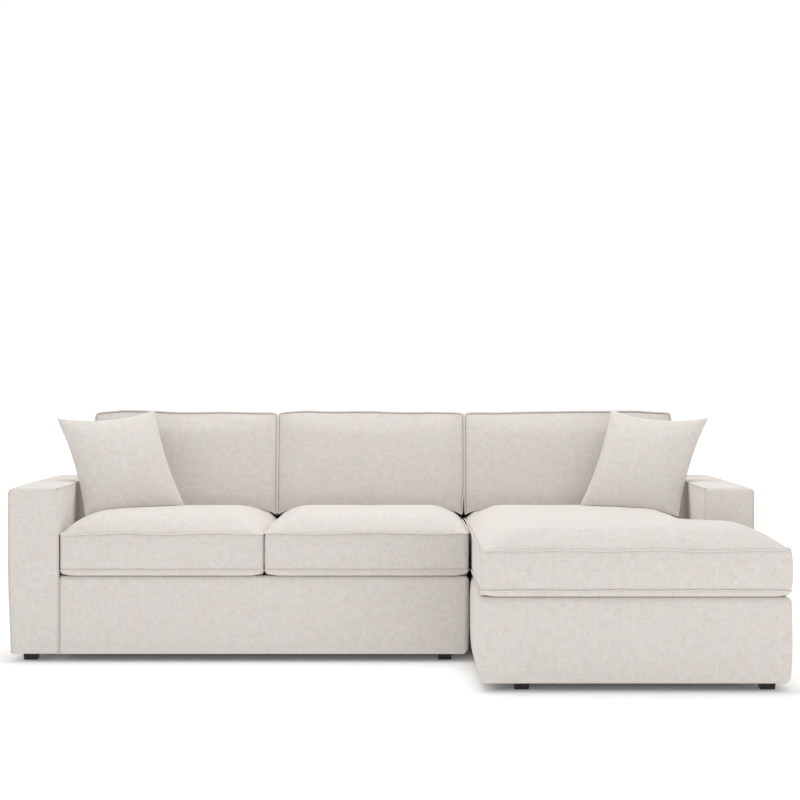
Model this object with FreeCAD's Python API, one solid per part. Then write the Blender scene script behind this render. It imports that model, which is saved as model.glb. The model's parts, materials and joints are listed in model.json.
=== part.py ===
import FreeCAD, Part
import math
import os

# Sectional sofa: a left-arm loveseat and a right-arm chaise, hooked together side by side.
# Millimetres. +X to the viewer's right, +Y to the back, +Z up; the origin is on the floor, mid footprint.

# Overall sizes
overall_width = 2690.0
overall_height = 888.0
sofa_depth = 1020.0
chaise_depth = 1700.0
loveseat_width = 1663.0
unit_gap = 7.6
arm_width = 182.0
arm_height = 628.0
deck_height = 310.0
floor_gap = 28.0

# Upholstery
skin = 2.5
base_edge_radius = 20.0
arm_edge_radius = 18.0
back_edge_radius = 22.0
hem = 40.0
arm_hem = 38.0
panel_wadding = 8.0
arm_side_wadding = 12.0
arm_top_wadding = 20.0
back_wadding = 20.0
dust_cloth = 1.0

# Timber frame
board = 25.0
plate = 22.0
webbing_thickness = 2.0
webbing_width = 80.0
webbing_pitch = 180.0
webbing_slope = 25.0
deck_pad = 13.5
stretcher_height = 110.0
stretcher_drop = 25.0
block_height = 45.0
block_margin = 42.0
block_chamfer = 30.0
chaise_stretcher_count = 2

# Back rest
recline = 7.5
back_height = 800.0
back_depth = 175.0
lumbar_rail_height = 90.0
lumbar_rail_centre = 480.0
back_web_count = 4

# Feet and screws
foot_top_width = 52.0
foot_bottom_width = 46.0
foot_setback = 60.0
arm_foot_inset = 69.0
joint_foot_inset = 87.0
chaise_foot_inset = 142.0
screw_radius = 2.4
screw_length = 34.0
screw_head_radius = 5.0
screw_head_height = 3.0
screw_clearance = 0.2
hex_sides = 6
recess_depth = 12.0
recess_radius = 8.0

# Interlocking connectors between the two units
steel = 2.0
hook_clearance = 0.3
keeper_height = 40.0
keeper_span = 44.0
keeper_flange = 18.0
hook_width = 36.0
hook_overhang = 8.0
hook_plate_height = 46.0
hook_screw_spacing = 20.0
keeper_bottom = 110.0
connector_setback = 150.0
connector_rear_setback = 560.0

# Seat cushions
soft_gap = 0.4
cushion_side_gap = 2.5
bottom_welt_rise = 20.0
boxing_height = 132.0
seat_crown = 68.0
crown_reach = 125.0
seat_corner_radius = 22.0
side_draw = 4.0
bottom_reach = 45.0
core_inset = 22.0
core_drop = 18.0
seat_rear_gap = 3.0

# Back cushions
back_cushion_boxing = 165.0
back_cushion_crown = 30.0
back_crown_reach = 120.0
back_corner_radius = 26.0
back_cushion_end_gap = 9.0
back_cushion_split = 6.0
back_cushion_settle = 8.0
back_cushion_seam = 1.5
back_core_inset = 26.0
rest_height = 495.0
rest_margin = 10.0

# Throw pillows
pillow_side = 416.0
pillow_depth = 62.0
pillow_draw = 16.0
pillow_turn = 32.0
pillow_lean = 28.7
pillow_roll = 4.5
pillow_from_arm = 152.5
pillow_from_back = 342.0
pillow_over_deck = 388.0
pillow_insert_inset = 14.0
pillow_clearance = 0.4
pillow_fullness = 0.55
pillow_cells = 8
insert_cells = 6

# Working values
overrun = 50.0
touch = 0.01
right_angle = 90.0

# Planes that the units share
left_x = -overall_width / 2
right_x = overall_width / 2
rear_y = chaise_depth / 2
chaise_front_y = -chaise_depth / 2
front_y = rear_y - sofa_depth
back_inner_y = rear_y - back_depth
joint_x = left_x + loveseat_width
chaise_x = joint_x + unit_gap
left_seat_x = left_x + arm_width
right_seat_x = right_x - arm_width
frame_bottom = floor_gap + skin
rail_top = deck_height - skin - deck_pad - 2 * webbing_thickness
web_top = rail_top + 2 * webbing_thickness
foot_height = frame_bottom - dust_cloth
lean_angle = math.radians(recline)
lean_cos = math.cos(lean_angle)
lean_sin = math.sin(lean_angle)
lean_tan = math.tan(lean_angle)


def vector(x, y, z):
    return FreeCAD.Vector(x, y, z)


def block(x0, x1, y0, y1, z0, z1):
    return Part.makeBox(x1 - x0, y1 - y0, z1 - z0, vector(x0, y0, z0))


def prism(points, z0, z1):
    """Upright prism over a plan outline."""
    wire = Part.makePolygon([vector(x, y, z0) for x, y in points + points[:1]])
    return Part.Face(wire).extrude(vector(0, 0, z1 - z0))


def cross_prism(points, x0, x1):
    """Prism along X over an outline in Y and Z."""
    wire = Part.makePolygon([vector(x0, y, z) for y, z in points + points[:1]])
    return Part.Face(wire).extrude(vector(x1 - x0, 0, 0))


def long_prism(points, y0, y1):
    """Prism along Y over an outline in X and Z."""
    wire = Part.makePolygon([vector(x, y0, z) for x, z in points + points[:1]])
    return Part.Face(wire).extrude(vector(0, y1 - y0, 0))


def hex_bar(start, direction, length, radius):
    """Six-sided bar of the given outer radius, which a threaded shank fills."""
    side = vector(0, 0, 1) if abs(direction.z) < abs(direction.x) else vector(1, 0, 0)
    other = direction.cross(side)
    points = []
    for step in range(hex_sides):
        angle = 2 * math.pi * step / hex_sides
        points.append(start + side * (radius * math.cos(angle)) + other * (radius * math.sin(angle)))
    return Part.Face(Part.makePolygon(points + points[:1])).extrude(direction * length)


def joined(shapes):
    return Part.makeCompound(shapes)


def save(shape, name):
    shape.exportStep("parts/%s.step" % name)


def inset_corners(corners, insets):
    """Move each side of a right-angled outline inwards by its own inset."""
    count = len(corners)
    normals = []
    for index, corner in enumerate(corners):
        after = corners[(index + 1) % count]
        length = math.hypot(after[0] - corner[0], after[1] - corner[1])
        normals.append((-(after[1] - corner[1]) / length, (after[0] - corner[0]) / length))
    moved = []
    for index, corner in enumerate(corners):
        before = normals[index - 1]
        here = normals[index]
        x = corner[0] + before[0] * insets[index - 1] + here[0] * insets[index]
        y = corner[1] + before[1] * insets[index - 1] + here[1] * insets[index]
        moved.append((x, y))
    return moved


def soft_outline(corners, radius, draw, z):
    """Outline whose corners are rounded and whose sides are drawn in between them."""
    count = len(corners)
    starts = []
    ends = []
    middles = []
    for index, corner in enumerate(corners):
        point = vector(corner[0], corner[1], z)
        before = vector(corners[index - 1][0], corners[index - 1][1], z)
        after = vector(corners[(index + 1) % count][0], corners[(index + 1) % count][1], z)
        back = (before - point).normalize()
        ahead = (after - point).normalize()
        centre = point + (back + ahead) * radius
        starts.append(point + back * radius)
        ends.append(point + ahead * radius)
        middles.append(centre + (point - centre).normalize() * radius)
    edges = []
    for index in range(count):
        edges.append(Part.Arc(starts[index], middles[index], ends[index]).toShape())
        first = ends[index]
        last = starts[(index + 1) % count]
        along = (last - first).normalize()
        inward = vector(-along.y, along.x, 0)
        edges.append(Part.Arc(first, (first + last) / 2 + inward * draw, last).toShape())
    return Part.Wire(edges)


def crown_arc_middle(reach, rise):
    """Middle of the arc that leaves the welt and runs out level at the flat of the crown."""
    radius = (reach ** 2 + rise ** 2) / (2 * rise)
    half_angle = math.asin(reach / radius) / 2
    return reach - radius * math.sin(half_angle), rise - radius * (1 - math.cos(half_angle))


def boxed_profile(first, last, reach, rise, boxing, under, place):
    """Side view of a boxed cushion: flat foot, bottom panel, upright boxing and crowned top panel."""
    welt = bottom_welt_rise + boxing
    top = welt + rise
    middle, middle_rise = crown_arc_middle(reach, rise)
    corners = [(first + under, 0.0), (last - under, 0.0), (last, bottom_welt_rise), (last, welt)]
    edges = [Part.LineSegment(place(*a), place(*b)).toShape() for a, b in zip(corners, corners[1:])]
    edges.append(Part.Arc(place(last, welt), place(last - middle, welt + middle_rise),
                          place(last - reach, top)).toShape())
    edges.append(Part.LineSegment(place(last - reach, top), place(first + reach, top)).toShape())
    edges.append(Part.Arc(place(first + reach, top), place(first + middle, welt + middle_rise),
                          place(first, welt)).toShape())
    corners = [(first, welt), (first, bottom_welt_rise), (first + under, 0.0)]
    edges += [Part.LineSegment(place(*a), place(*b)).toShape() for a, b in zip(corners, corners[1:])]
    return Part.Face(Part.Wire(edges))


def crowned_box(x0, x1, y0, y1, reach, rise, boxing):
    """Boxed cushion over a rectangle, crowned both ways."""
    along = boxed_profile(x0, x1, reach, rise, boxing, bottom_reach, lambda a, z: vector(a, y0, z))
    across = boxed_profile(y0, y1, reach, rise, boxing, bottom_reach, lambda a, z: vector(x0, a, z))
    return along.extrude(vector(0, y1 - y0, 0)).common(across.extrude(vector(x1 - x0, 0, 0)))


def trimmed_to_plan(form, corners, radius, top):
    """Round the form's upright corners and draw its sides in between them."""
    return form.common(Part.Face(soft_outline(corners, radius, side_draw, 0.0)).extrude(vector(0, 0, top)))


def rectangle(x0, x1, y0, y1):
    return [(x0, y0), (x1, y0), (x1, y1), (x0, y1)]


def edge_middle(edge):
    return edge.valueAt((edge.FirstParameter + edge.LastParameter) / 2)


def edges_where(shape, test):
    chosen = []
    for edge in shape.Edges:
        ends = edge.Vertexes
        run = ends[-1].Point - ends[0].Point
        if test(edge_middle(edge), run.normalize()):
            chosen.append(edge)
    return chosen


def near(a, b):
    return abs(a - b) < touch


def inside_face_y(z):
    """Y of the back rest's fabric at a height above the deck."""
    return back_inner_y + (z - deck_height) * lean_tan


def depth_y(z, depth):
    """Y of a plane behind the back rest's fabric, measured square to it."""
    return inside_face_y(z) + depth / lean_cos


# Base of a unit: the outline, its sides that show, and what stands inside

def loveseat_outline():
    corners = rectangle(left_seat_x, joint_x, front_y, back_inner_y)
    shown = (True, True, False, False)
    return corners, shown


def chaise_outline():
    corners = [(chaise_x, chaise_front_y), (right_x, chaise_front_y), (right_x, front_y),
               (right_seat_x, front_y), (right_seat_x, back_inner_y), (chaise_x, back_inner_y)]
    shown = (True, True, False, False, False, True)
    return corners, shown


def shown_inset(corners, shown, inset):
    return inset_corners(corners, [inset if side else 0.0 for side in shown])


def rounded_base(corners, shown, inset):
    """The base as a solid, rounded along the sides that show."""
    count = len(corners)
    moved = shown_inset(corners, shown, inset)
    solid = prism(moved, floor_gap + inset, deck_height - inset)

    def shows(middle, run):
        if abs(run.z) > touch:
            for index, corner in enumerate(moved):
                both = shown[index] and shown[index - 1]
                if both and near(middle.x, corner[0]) and near(middle.y, corner[1]):
                    return True
            return False
        for index, corner in enumerate(moved):
            after = moved[(index + 1) % count]
            if not shown[index]:
                continue
            if near(corner[0], after[0]) and near(middle.x, corner[0]) and near(abs(run.y), 1.0):
                return True
            if near(corner[1], after[1]) and near(middle.y, corner[1]) and near(abs(run.x), 1.0):
                return True
        return False

    return solid.makeFillet(base_edge_radius - inset, edges_where(solid, shows))


def base_cover(corners, shown):
    outer = rounded_base(corners, shown, 0.0)
    inner = rounded_base(corners, shown, skin)
    opening = prism(shown_inset(corners, shown, hem), floor_gap - overrun, deck_height + overrun)
    return outer.cut([inner, opening])


def deck_cloth(corners, shown):
    return prism(shown_inset(corners, shown, hem), deck_height - skin, deck_height)


def base_wadding(corners, shown):
    inner = rounded_base(corners, shown, skin)
    core = prism(shown_inset(corners, shown, skin + panel_wadding), frame_bottom, web_top)
    return inner.cut(core)


def dust_cover(corners, shown, arm_x0, arm_x1):
    """Cloth under the unit, with a separate strip under the arm."""
    field = prism(shown_inset(corners, shown, hem), foot_height, frame_bottom)
    xs = [x for x, y in corners if near(y, back_inner_y)]
    x0 = min(xs) + (hem if near(min(xs), chaise_x) else 0.0)
    x1 = max(xs) - (hem if near(max(xs), joint_x) else 0.0)
    rear = block(x0, x1, back_inner_y, rear_y - hem, foot_height, frame_bottom)
    strip = block(arm_x0 + arm_hem, arm_x1 - arm_hem, front_y + arm_hem, rear_y - arm_hem,
                  foot_height, frame_bottom)
    return field.fuse(rear).removeSplitter(), strip


# Arm

def arm_solid(x0, x1, outer_x, inset):
    """The arm's envelope, rounded on top and down its two outer corners."""
    solid = block(x0 + inset, x1 - inset, front_y + inset, rear_y - inset,
                  floor_gap + inset, arm_height - inset)
    outer = outer_x + inset if near(outer_x, x0) else outer_x - inset

    def shows(middle, run):
        if abs(run.z) > touch:
            return near(middle.x, outer)
        return near(middle.z, arm_height - inset)

    return solid.makeFillet(arm_edge_radius - inset, edges_where(solid, shows))


def arm_core(x0, x1, overlap):
    side = skin + arm_side_wadding
    return (x0 + side, x1 - side, front_y + side, rear_y - side,
            frame_bottom - overlap, arm_height - skin - arm_top_wadding)


def build_arm(unit, side, x0, x1, outer_x):
    outer = arm_solid(x0, x1, outer_x, 0.0)
    inner = arm_solid(x0, x1, outer_x, skin)
    opening = block(x0 + arm_hem, x1 - arm_hem, front_y + arm_hem, rear_y - arm_hem,
                    floor_gap - overrun, frame_bottom + skin)
    save(outer.cut([inner, opening]), side + "_arm_cover")
    save(inner.cut(block(*arm_core(x0, x1, overrun))), side + "_arm_wadding")
    cx0, cx1, cy0, cy1, cz0, cz1 = arm_core(x0, x1, 0.0)
    middle = (cy0 + cy1) / 2
    boards = [block(cx0, cx1, cy0, cy1, cz1 - plate, cz1)]
    for y in (cy0, middle - board / 2, cy1 - board):
        boards.append(block(cx0, cx1, y, y + board, cz0 + plate, cz1 - plate))
    bottom = block(cx0, cx1, cy0, cy1, cz0, cz0 + plate)
    for screw in foot_screws(unit):
        bottom = bottom.cut(screw_hole(screw))
    save(joined([bottom] + boards), side + "_arm_frame")


# Screws

def foot_centres(unit):
    front = (front_y if unit == "loveseat" else chaise_front_y) + foot_setback + foot_top_width / 2
    rear = rear_y - foot_setback - foot_top_width / 2
    if unit == "loveseat":
        arm = left_x + arm_foot_inset
        joint = joint_x - joint_foot_inset
        return {"front_left": (arm, front), "front_right": (joint, front),
                "rear_left": (arm, rear), "rear_right": (joint, rear)}
    arm = right_x - arm_foot_inset
    joint = chaise_x + chaise_foot_inset
    return {"front_left": (joint, front), "front_right": (arm, front),
            "rear_left": (joint, rear), "rear_right": (arm, rear)}


def foot_screws(unit):
    """Start point under the head and direction of each foot screw."""
    return [(vector(x, y, recess_depth), vector(0, 0, 1)) for x, y in foot_centres(unit).values()]


def connector_rows():
    return [front_y + connector_setback, front_y + connector_rear_setback]


def bracket_screws(unit):
    """Start point under the head and direction of each screw in the brackets."""
    places = []
    for y in connector_rows():
        if unit == "loveseat":
            x = joint_x + steel
            z = keeper_bottom + keeper_height / 2
            reach = keeper_span / 2 + keeper_flange / 2
            for offset in (-reach, reach):
                places.append((vector(x, y + offset, z), vector(-1, 0, 0)))
        else:
            z = keeper_bottom + keeper_height + hook_plate_height - hook_screw_spacing / 2
            for offset in (-hook_screw_spacing / 2, hook_screw_spacing / 2):
                places.append((vector(chaise_x - steel, y + offset, z), vector(1, 0, 0)))
    return places


def screw_hole(screw):
    start, direction = screw
    length = screw_head_height + screw_length + screw_clearance
    return hex_bar(start - direction * screw_head_height, direction, length, screw_radius + screw_clearance)


def screw_solid(screw):
    start, direction = screw
    shank = hex_bar(start, direction, screw_length, screw_radius)
    head = hex_bar(start - direction * screw_head_height, direction, screw_head_height, screw_head_radius)
    return shank.fuse(head)


def drilled(shape, screws):
    for screw in screws:
        shape = shape.cut(screw_hole(screw))
    return shape


# Feet

def foot(x, y):
    """Tapered block foot with a counterbored screw hole."""
    low = foot_bottom_width / 2
    high = foot_top_width / 2
    solid = Part.makeWedge(-low, 0.0, -low, -high, -high, low, foot_height, low, high, high)
    solid.Placement = FreeCAD.Placement(vector(x, y, 0), FreeCAD.Rotation(vector(1, 0, 0), right_angle))
    recess = hex_bar(vector(x, y, 0), vector(0, 0, 1), recess_depth, recess_radius)
    return solid.cut([recess, screw_hole((vector(x, y, recess_depth), vector(0, 0, 1)))])


# Rails, stretchers and blocks of a base

def build_loveseat_rails():
    corners, shown = loveseat_outline()
    x0, x1 = left_seat_x, joint_x - skin - panel_wadding
    y0, y1 = front_y + skin + panel_wadding, back_inner_y
    inner = rounded_base(corners, shown, skin)
    screws = bracket_screws("loveseat")
    save(block(x0, x1, y0, y0 + board, frame_bottom, rail_top).common(inner), "loveseat_front_rail")
    save(block(x0, x1, y1 - board, y1, frame_bottom, rail_top).common(inner), "loveseat_rear_rail")
    sides = [block(x0, x0 + board, y0 + board, y1 - board, frame_bottom, rail_top)]
    right = block(x1 - board, x1, y0 + board, y1 - board, frame_bottom, rail_top)
    sides.append(drilled(right.common(inner), screws))
    start = (x0 + x1 - board) / 2
    top = rail_top - stretcher_drop
    sides.append(block(start, start + board, y0 + board, y1 - board, top - stretcher_height, top))
    save(joined(sides), "loveseat_side_rails")
    reach = block_margin + board
    foot_x, foot_y = foot_centres("loveseat")["front_right"]
    reach_x = x1 - board - foot_x + block_margin
    reach_y = foot_y - y0 - board + block_margin
    under_foot = corner_block(x1 - board, y0 + board, -1, 1, reach_x, reach_y)
    blocks = [corner_block(x0 + board, y0 + board, 1, 1, reach, reach)]
    blocks.append(drilled(under_foot, foot_screws("loveseat")))
    blocks.append(corner_block(x0 + board, y1 - board, 1, -1, reach, reach))
    blocks.append(corner_block(x1 - board, y1 - board, -1, -1, reach, reach))
    save(joined(blocks), "loveseat_corner_blocks")


def corner_block(x, y, to_x, to_y, length_x, length_y):
    """Glue block in the corner of two rails, with its free corner cut off."""
    far_x = x + to_x * length_x
    far_y = y + to_y * length_y
    points = [(x, y), (far_x, y), (far_x, far_y - to_y * block_chamfer),
              (far_x - to_x * block_chamfer, far_y), (x, far_y)]
    return prism(points, frame_bottom, frame_bottom + block_height)


def build_chaise_rails():
    corners, shown = chaise_outline()
    side = skin + panel_wadding
    x0, x1, x2 = chaise_x + side, right_seat_x, right_x - side
    y0, y1, y2 = chaise_front_y + side, front_y, back_inner_y
    inner = rounded_base(corners, shown, skin)
    screws = bracket_screws("chaise")
    save(block(x0, x2, y0, y0 + board, frame_bottom, rail_top).common(inner), "chaise_front_rail")
    save(block(x0, x1, y2 - board, y2, frame_bottom, rail_top).common(inner), "chaise_rear_rail")
    left = block(x0, x0 + board, y0 + board, y2 - board, frame_bottom, rail_top)
    sides = [drilled(left.common(inner), screws)]
    sides.append(block(x1 - board, x1, y0 + board, y2 - board, frame_bottom, rail_top))
    sides.append(block(x2 - board, x2, y0 + board, y1 - board, frame_bottom, rail_top).common(inner))
    sides.append(block(x1, x2, y1 - board, y1, frame_bottom, rail_top).common(inner))
    top = rail_top - stretcher_drop
    for index in range(chaise_stretcher_count):
        start = y0 + (y2 - y0) * (index + 1) / (chaise_stretcher_count + 1) - board / 2
        sides.append(block(x0 + board, x1 - board, start, start + board, top - stretcher_height, top))
    save(joined(sides), "chaise_side_rails")
    reach = block_margin + board
    left_x_foot, foot_y = foot_centres("chaise")["front_left"]
    right_x_foot, foot_y = foot_centres("chaise")["front_right"]
    reach_y = foot_y - y0 - board + block_margin
    blocks = []
    for x, to_x, reach_x in ((x0 + board, 1, left_x_foot - x0), (x2 - board, -1, x2 - right_x_foot)):
        under_foot = corner_block(x, y0 + board, to_x, 1, reach_x - board + block_margin, reach_y)
        blocks.append(drilled(under_foot, foot_screws("chaise")))
    blocks.append(corner_block(x0 + board, y2 - board, 1, -1, reach, reach))
    blocks.append(corner_block(x1 - board, y2 - board, -1, -1, reach, reach))
    save(joined(blocks), "chaise_corner_blocks")


# Elastic webbing

def spread(first, last, width, pitch):
    """Centres of as many strips as fit between two rails."""
    room = last - first - width
    count = max(int(room / pitch), 1)
    return [first + width / 2 + room * index / count for index in range(count + 1)]


def strip_outline(first, last, crossings):
    """Side view of one strip, which rises over every crossing marked so."""
    low = [(first, rail_top)]
    for centre, over in crossings:
        if over:
            half = webbing_width / 2
            low.append((centre - half - webbing_slope, rail_top))
            low.append((centre - half, rail_top + webbing_thickness))
            low.append((centre + half, rail_top + webbing_thickness))
            low.append((centre + half + webbing_slope, rail_top))
    low.append((last, rail_top))
    high = [(position, z + webbing_thickness) for position, z in reversed(low)]
    return low + high


def interlaced(lengthwise, crosswise):
    """Strips along Y and along X that pass over and under each other by turns."""
    solids = []
    for i, (x, y0, y1) in enumerate(lengthwise):
        crossings = [(y, (i + j) % 2 == 0) for j, (y, x0, x1) in enumerate(crosswise) if y0 < y < y1]
        outline = strip_outline(y0, y1, crossings)
        solids.append(cross_prism(outline, x - webbing_width / 2, x + webbing_width / 2))
    for j, (y, x0, x1) in enumerate(crosswise):
        crossings = [(x, (i + j) % 2 == 1) for i, (x, y0, y1) in enumerate(lengthwise) if x0 < x < x1]
        outline = strip_outline(x0, x1, crossings)
        solids.append(long_prism(outline, y - webbing_width / 2, y + webbing_width / 2))
    return joined(solids)


def build_seat_webbing(unit):
    side = skin + panel_wadding
    if unit == "loveseat":
        x0, x1, y0 = left_seat_x, joint_x - side, front_y + side
    else:
        x0, x1, y0 = chaise_x + side, right_seat_x, chaise_front_y + side
    lengthwise = []
    for x in spread(x0 + board, x1 - board, webbing_width, webbing_pitch):
        lengthwise.append((x, y0, back_inner_y))
    crosswise = []
    for y in spread(y0 + board, back_inner_y - board, webbing_width, webbing_pitch):
        crosswise.append((y, x0, x1))
    save(interlaced(lengthwise, crosswise), unit + "_seat_webbing")


# Back rest

def back_solid(x0, x1, inset):
    """The back rest's envelope, raked inside and plumb behind, rounded along the top."""
    top = back_height - inset
    points = [(back_inner_y, floor_gap + inset), (back_inner_y, deck_height),
              (depth_y(deck_height, inset), deck_height), (depth_y(top, inset), top),
              (rear_y - inset, top), (rear_y - inset, floor_gap + inset)]
    if near(inset, 0.0):
        points.pop(1)
    solid = cross_prism(points, x0 + inset, x1 - inset)

    def on_top(middle, run):
        return near(middle.z, top) and near(abs(run.x), 1.0)

    return solid.makeFillet(back_edge_radius - inset, edges_where(solid, on_top))


def back_core(x0, x1, depth, top):
    """What lies behind a depth of the back rest, above the deck."""
    points = [(depth_y(deck_height - overrun, depth), deck_height - overrun), (depth_y(top, depth), top),
              (rear_y - skin, top), (rear_y - skin, deck_height - overrun)]
    return cross_prism(points, x0, x1)


def build_back(unit, x0, x1, joint_side):
    outer = back_solid(x0, x1, 0.0)
    inner = back_solid(x0, x1, skin)
    open_x0 = x0 + (hem if joint_side < 0 else -overrun)
    open_x1 = x1 - (hem if joint_side > 0 else -overrun)
    opening = block(open_x0, open_x1, back_inner_y - overrun, rear_y - hem,
                    floor_gap - overrun, frame_bottom + skin)
    save(outer.cut([inner, opening]), unit + "_back_cover")
    top = back_height - skin - back_wadding
    below = block(x0 - overrun, x1 + overrun, back_inner_y - overrun, rear_y + overrun, -overrun, deck_height)
    wadding = inner.cut([back_core(x0 - overrun, x1 + overrun, skin + back_wadding, top), below])
    save(wadding, unit + "_back_wadding")
    build_back_frame(unit, x0 + skin, x1 - skin, top)


def build_back_frame(unit, x0, x1, top):
    depth = skin + back_wadding + webbing_thickness
    rear = rear_y - skin
    bottom = block(x0, x1, back_inner_y, rear, frame_bottom, frame_bottom + plate)
    boards = [drilled(bottom, foot_screws(unit))]
    post = [(back_inner_y, frame_bottom + plate), (back_inner_y, rail_top),
            (depth_y(deck_height, depth), deck_height), (depth_y(top - plate, depth), top - plate),
            (rear, top - plate), (rear, frame_bottom + plate)]
    for x in (x0, (x0 + x1 - board) / 2, x1 - board):
        boards.append(cross_prism(post, x, x + board))
    boards.append(block(x0, x1, depth_y(top, skin + back_wadding), rear, top - plate, top))
    low = lumbar_rail_centre - lumbar_rail_height / 2
    high = lumbar_rail_centre + lumbar_rail_height / 2
    middle = (x0 + x1) / 2
    for start, end in ((x0 + board, middle - board / 2), (middle + board / 2, x1 - board)):
        boards.append(block(start, end, rear - board, rear, low, high))
    save(joined(boards), unit + "_back_frame")
    strips = []
    low = deck_height + webbing_width
    high = top - plate - webbing_width
    for index in range(back_web_count):
        z = low + (high - low) * index / (back_web_count - 1)
        z0 = z - webbing_width / 2 * lean_cos
        z1 = z + webbing_width / 2 * lean_cos
        points = [(depth_y(z0, skin + back_wadding), z0), (depth_y(z0, depth), z0),
                  (depth_y(z1, depth), z1), (depth_y(z1, skin + back_wadding), z1)]
        strips.append(cross_prism(points, x0, x1))
    save(joined(strips), unit + "_back_webbing")


# Connectors

def build_connectors():
    keepers = []
    hooks = []
    pocket = steel + 2 * hook_clearance
    half = keeper_span / 2
    for y in connector_rows():
        edge = half + keeper_flange
        points = [(0.0, -edge), (steel, -edge), (steel, -half), (pocket + steel, -half),
                  (pocket + steel, half), (steel, half), (steel, edge), (0.0, edge),
                  (0.0, half - steel), (pocket, half - steel), (pocket, -half + steel), (0.0, -half + steel)]
        points = [(joint_x + x, y + offset) for x, offset in points]
        keepers.append(prism(points, keeper_bottom, keeper_bottom + keeper_height))
        near_x = joint_x + hook_clearance
        step = keeper_bottom + keeper_height + hook_clearance
        top = keeper_bottom + keeper_height + hook_plate_height
        low = keeper_bottom - hook_overhang
        points = [(near_x, low), (near_x + steel, low), (near_x + steel, step), (chaise_x, step),
                  (chaise_x, top), (chaise_x - steel, top), (chaise_x - steel, step + steel),
                  (near_x, step + steel)]
        hooks.append(long_prism(points, y - hook_width / 2, y + hook_width / 2))
    save(drilled(joined(keepers), bracket_screws("loveseat")), "loveseat_connector_keepers")
    save(drilled(joined(hooks), bracket_screws("chaise")), "chaise_connector_hooks")


# Cushions

def seat_cushion(areas, corners, name):
    """Seat cushion with its foam core; the back cushions rest on a flattened strip at its rear."""
    base = deck_height + soft_gap
    top = bottom_welt_rise + boxing_height + seat_crown
    forms = [crowned_box(*area, crown_reach, seat_crown, boxing_height) for area in areas]
    form = forms[0].fuse(forms[1:]) if len(forms) > 1 else forms[0]
    form = trimmed_to_plan(form, corners, seat_corner_radius, top)
    form.translate(vector(0, 0, base))
    xs = [x for x, y in corners]
    ys = [y for x, y in corners]
    rest_y = back_cushion_front() - rest_margin
    pressed = block(min(xs) - overrun, max(xs) + overrun, rest_y, max(ys) + overrun,
                    rest_height, base + top)
    form = form.cut(pressed)
    core = prism(inset_corners(corners, [core_inset] * len(corners)), base + core_drop,
                 base + bottom_welt_rise + boxing_height)
    save(form.cut(core), name + "_cover")
    save(core, name + "_core")


def back_cushion_front():
    """Foremost plane of the back cushions at the height where they rest."""
    return inside_face_y(rest_height) - (soft_gap + back_cushion_boxing + back_cushion_crown) / lean_cos


def back_cushion(x0, x1, name):
    """Back cushion, crowned in front, leaned on the back rest and flat where it rests on the seat."""
    thickness = soft_gap + back_cushion_boxing
    low = -thickness * lean_tan - back_cushion_settle
    high = (overall_height - rest_height - thickness * lean_sin) / lean_cos
    corners = rectangle(x0, x1, low, high)
    boxing = back_cushion_boxing - bottom_welt_rise
    seam = back_cushion_seam
    form = crowned_box(x0 - seam, x1 + seam, low - seam, high + seam,
                       back_crown_reach, back_cushion_crown, boxing)
    form = trimmed_to_plan(form, corners, back_corner_radius, back_cushion_boxing + back_cushion_crown)
    inner = inset_corners(corners, [back_core_inset] * len(corners))
    core = prism(inner, core_drop, back_cushion_boxing)
    lean = FreeCAD.Rotation(vector(1, 0, 0), right_angle - recline)
    origin = vector(0, inside_face_y(rest_height) - soft_gap / lean_cos, rest_height)
    span = (x0 - overrun, x1 + overrun, front_y, rear_y, deck_height)
    below = block(*span, rest_height + soft_gap)
    core_below = block(*span, rest_height + back_core_inset)
    for solid in (form, core):
        solid.Placement = FreeCAD.Placement(origin, lean)
    core = core.cut(core_below)
    save(form.cut([below, core]), name + "_cover")
    save(core, name + "_core")


def pillow_point(side, depth, u, v, face):
    """Point of a knife-edge pillow; u and v run from seam to seam, face is 1 in front and -1 behind."""
    half = side / 2
    x = u * (half - pillow_draw * u ** 2 * (1 - v ** 2))
    y = v * (half - pillow_draw * v ** 2 * (1 - u ** 2))
    fullness = max((1 - u ** 2) * (1 - v ** 2), 0.0) ** pillow_fullness
    return vector(x, y, face * depth * fullness)


def pillow_form(side, depth, cells):
    """Knife-edge pillow about the origin, with pointed corners and sides drawn in between them."""
    stations = [math.sin(math.pi / 2 * (2 * index / cells - 1)) for index in range(cells + 1)]
    stations[0], stations[-1] = -1.0, 1.0
    facets = []
    for face in (1, -1):
        for u0, u1 in zip(stations, stations[1:]):
            for v0, v1 in zip(stations, stations[1:]):
                near_left = pillow_point(side, depth, u0, v0, face)
                near_right = pillow_point(side, depth, u1, v0, face)
                far_right = pillow_point(side, depth, u1, v1, face)
                far_left = pillow_point(side, depth, u0, v1, face)
                pair = [[near_left, near_right, far_right], [near_left, far_right, far_left]]
                if u0 * v0 < 0 or u1 * v1 < 0:
                    pair = [[near_left, near_right, far_left], [near_right, far_right, far_left]]
                for points in pair:
                    facets.append(Part.Face(Part.makePolygon(points + points[:1])))
    return Part.Solid(Part.Shell(facets))


def crown_envelope(x0, x1, lift):
    """Everything at or below a seat cushion's crown over its whole travel, raised by a clearance."""
    base = deck_height + soft_gap + lift
    profile = boxed_profile(x0, x1, crown_reach, seat_crown, boxing_height, 0.0,
                            lambda a, z: vector(a, chaise_front_y - overrun, base + z))
    shoulder = block(x0 - arm_width, x1 + arm_width, chaise_front_y - overrun, rear_y + overrun,
                     floor_gap, base + bottom_welt_rise + boxing_height)
    return profile.extrude(vector(0, chaise_depth + 2 * overrun, 0)).fuse(shoulder)


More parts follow.
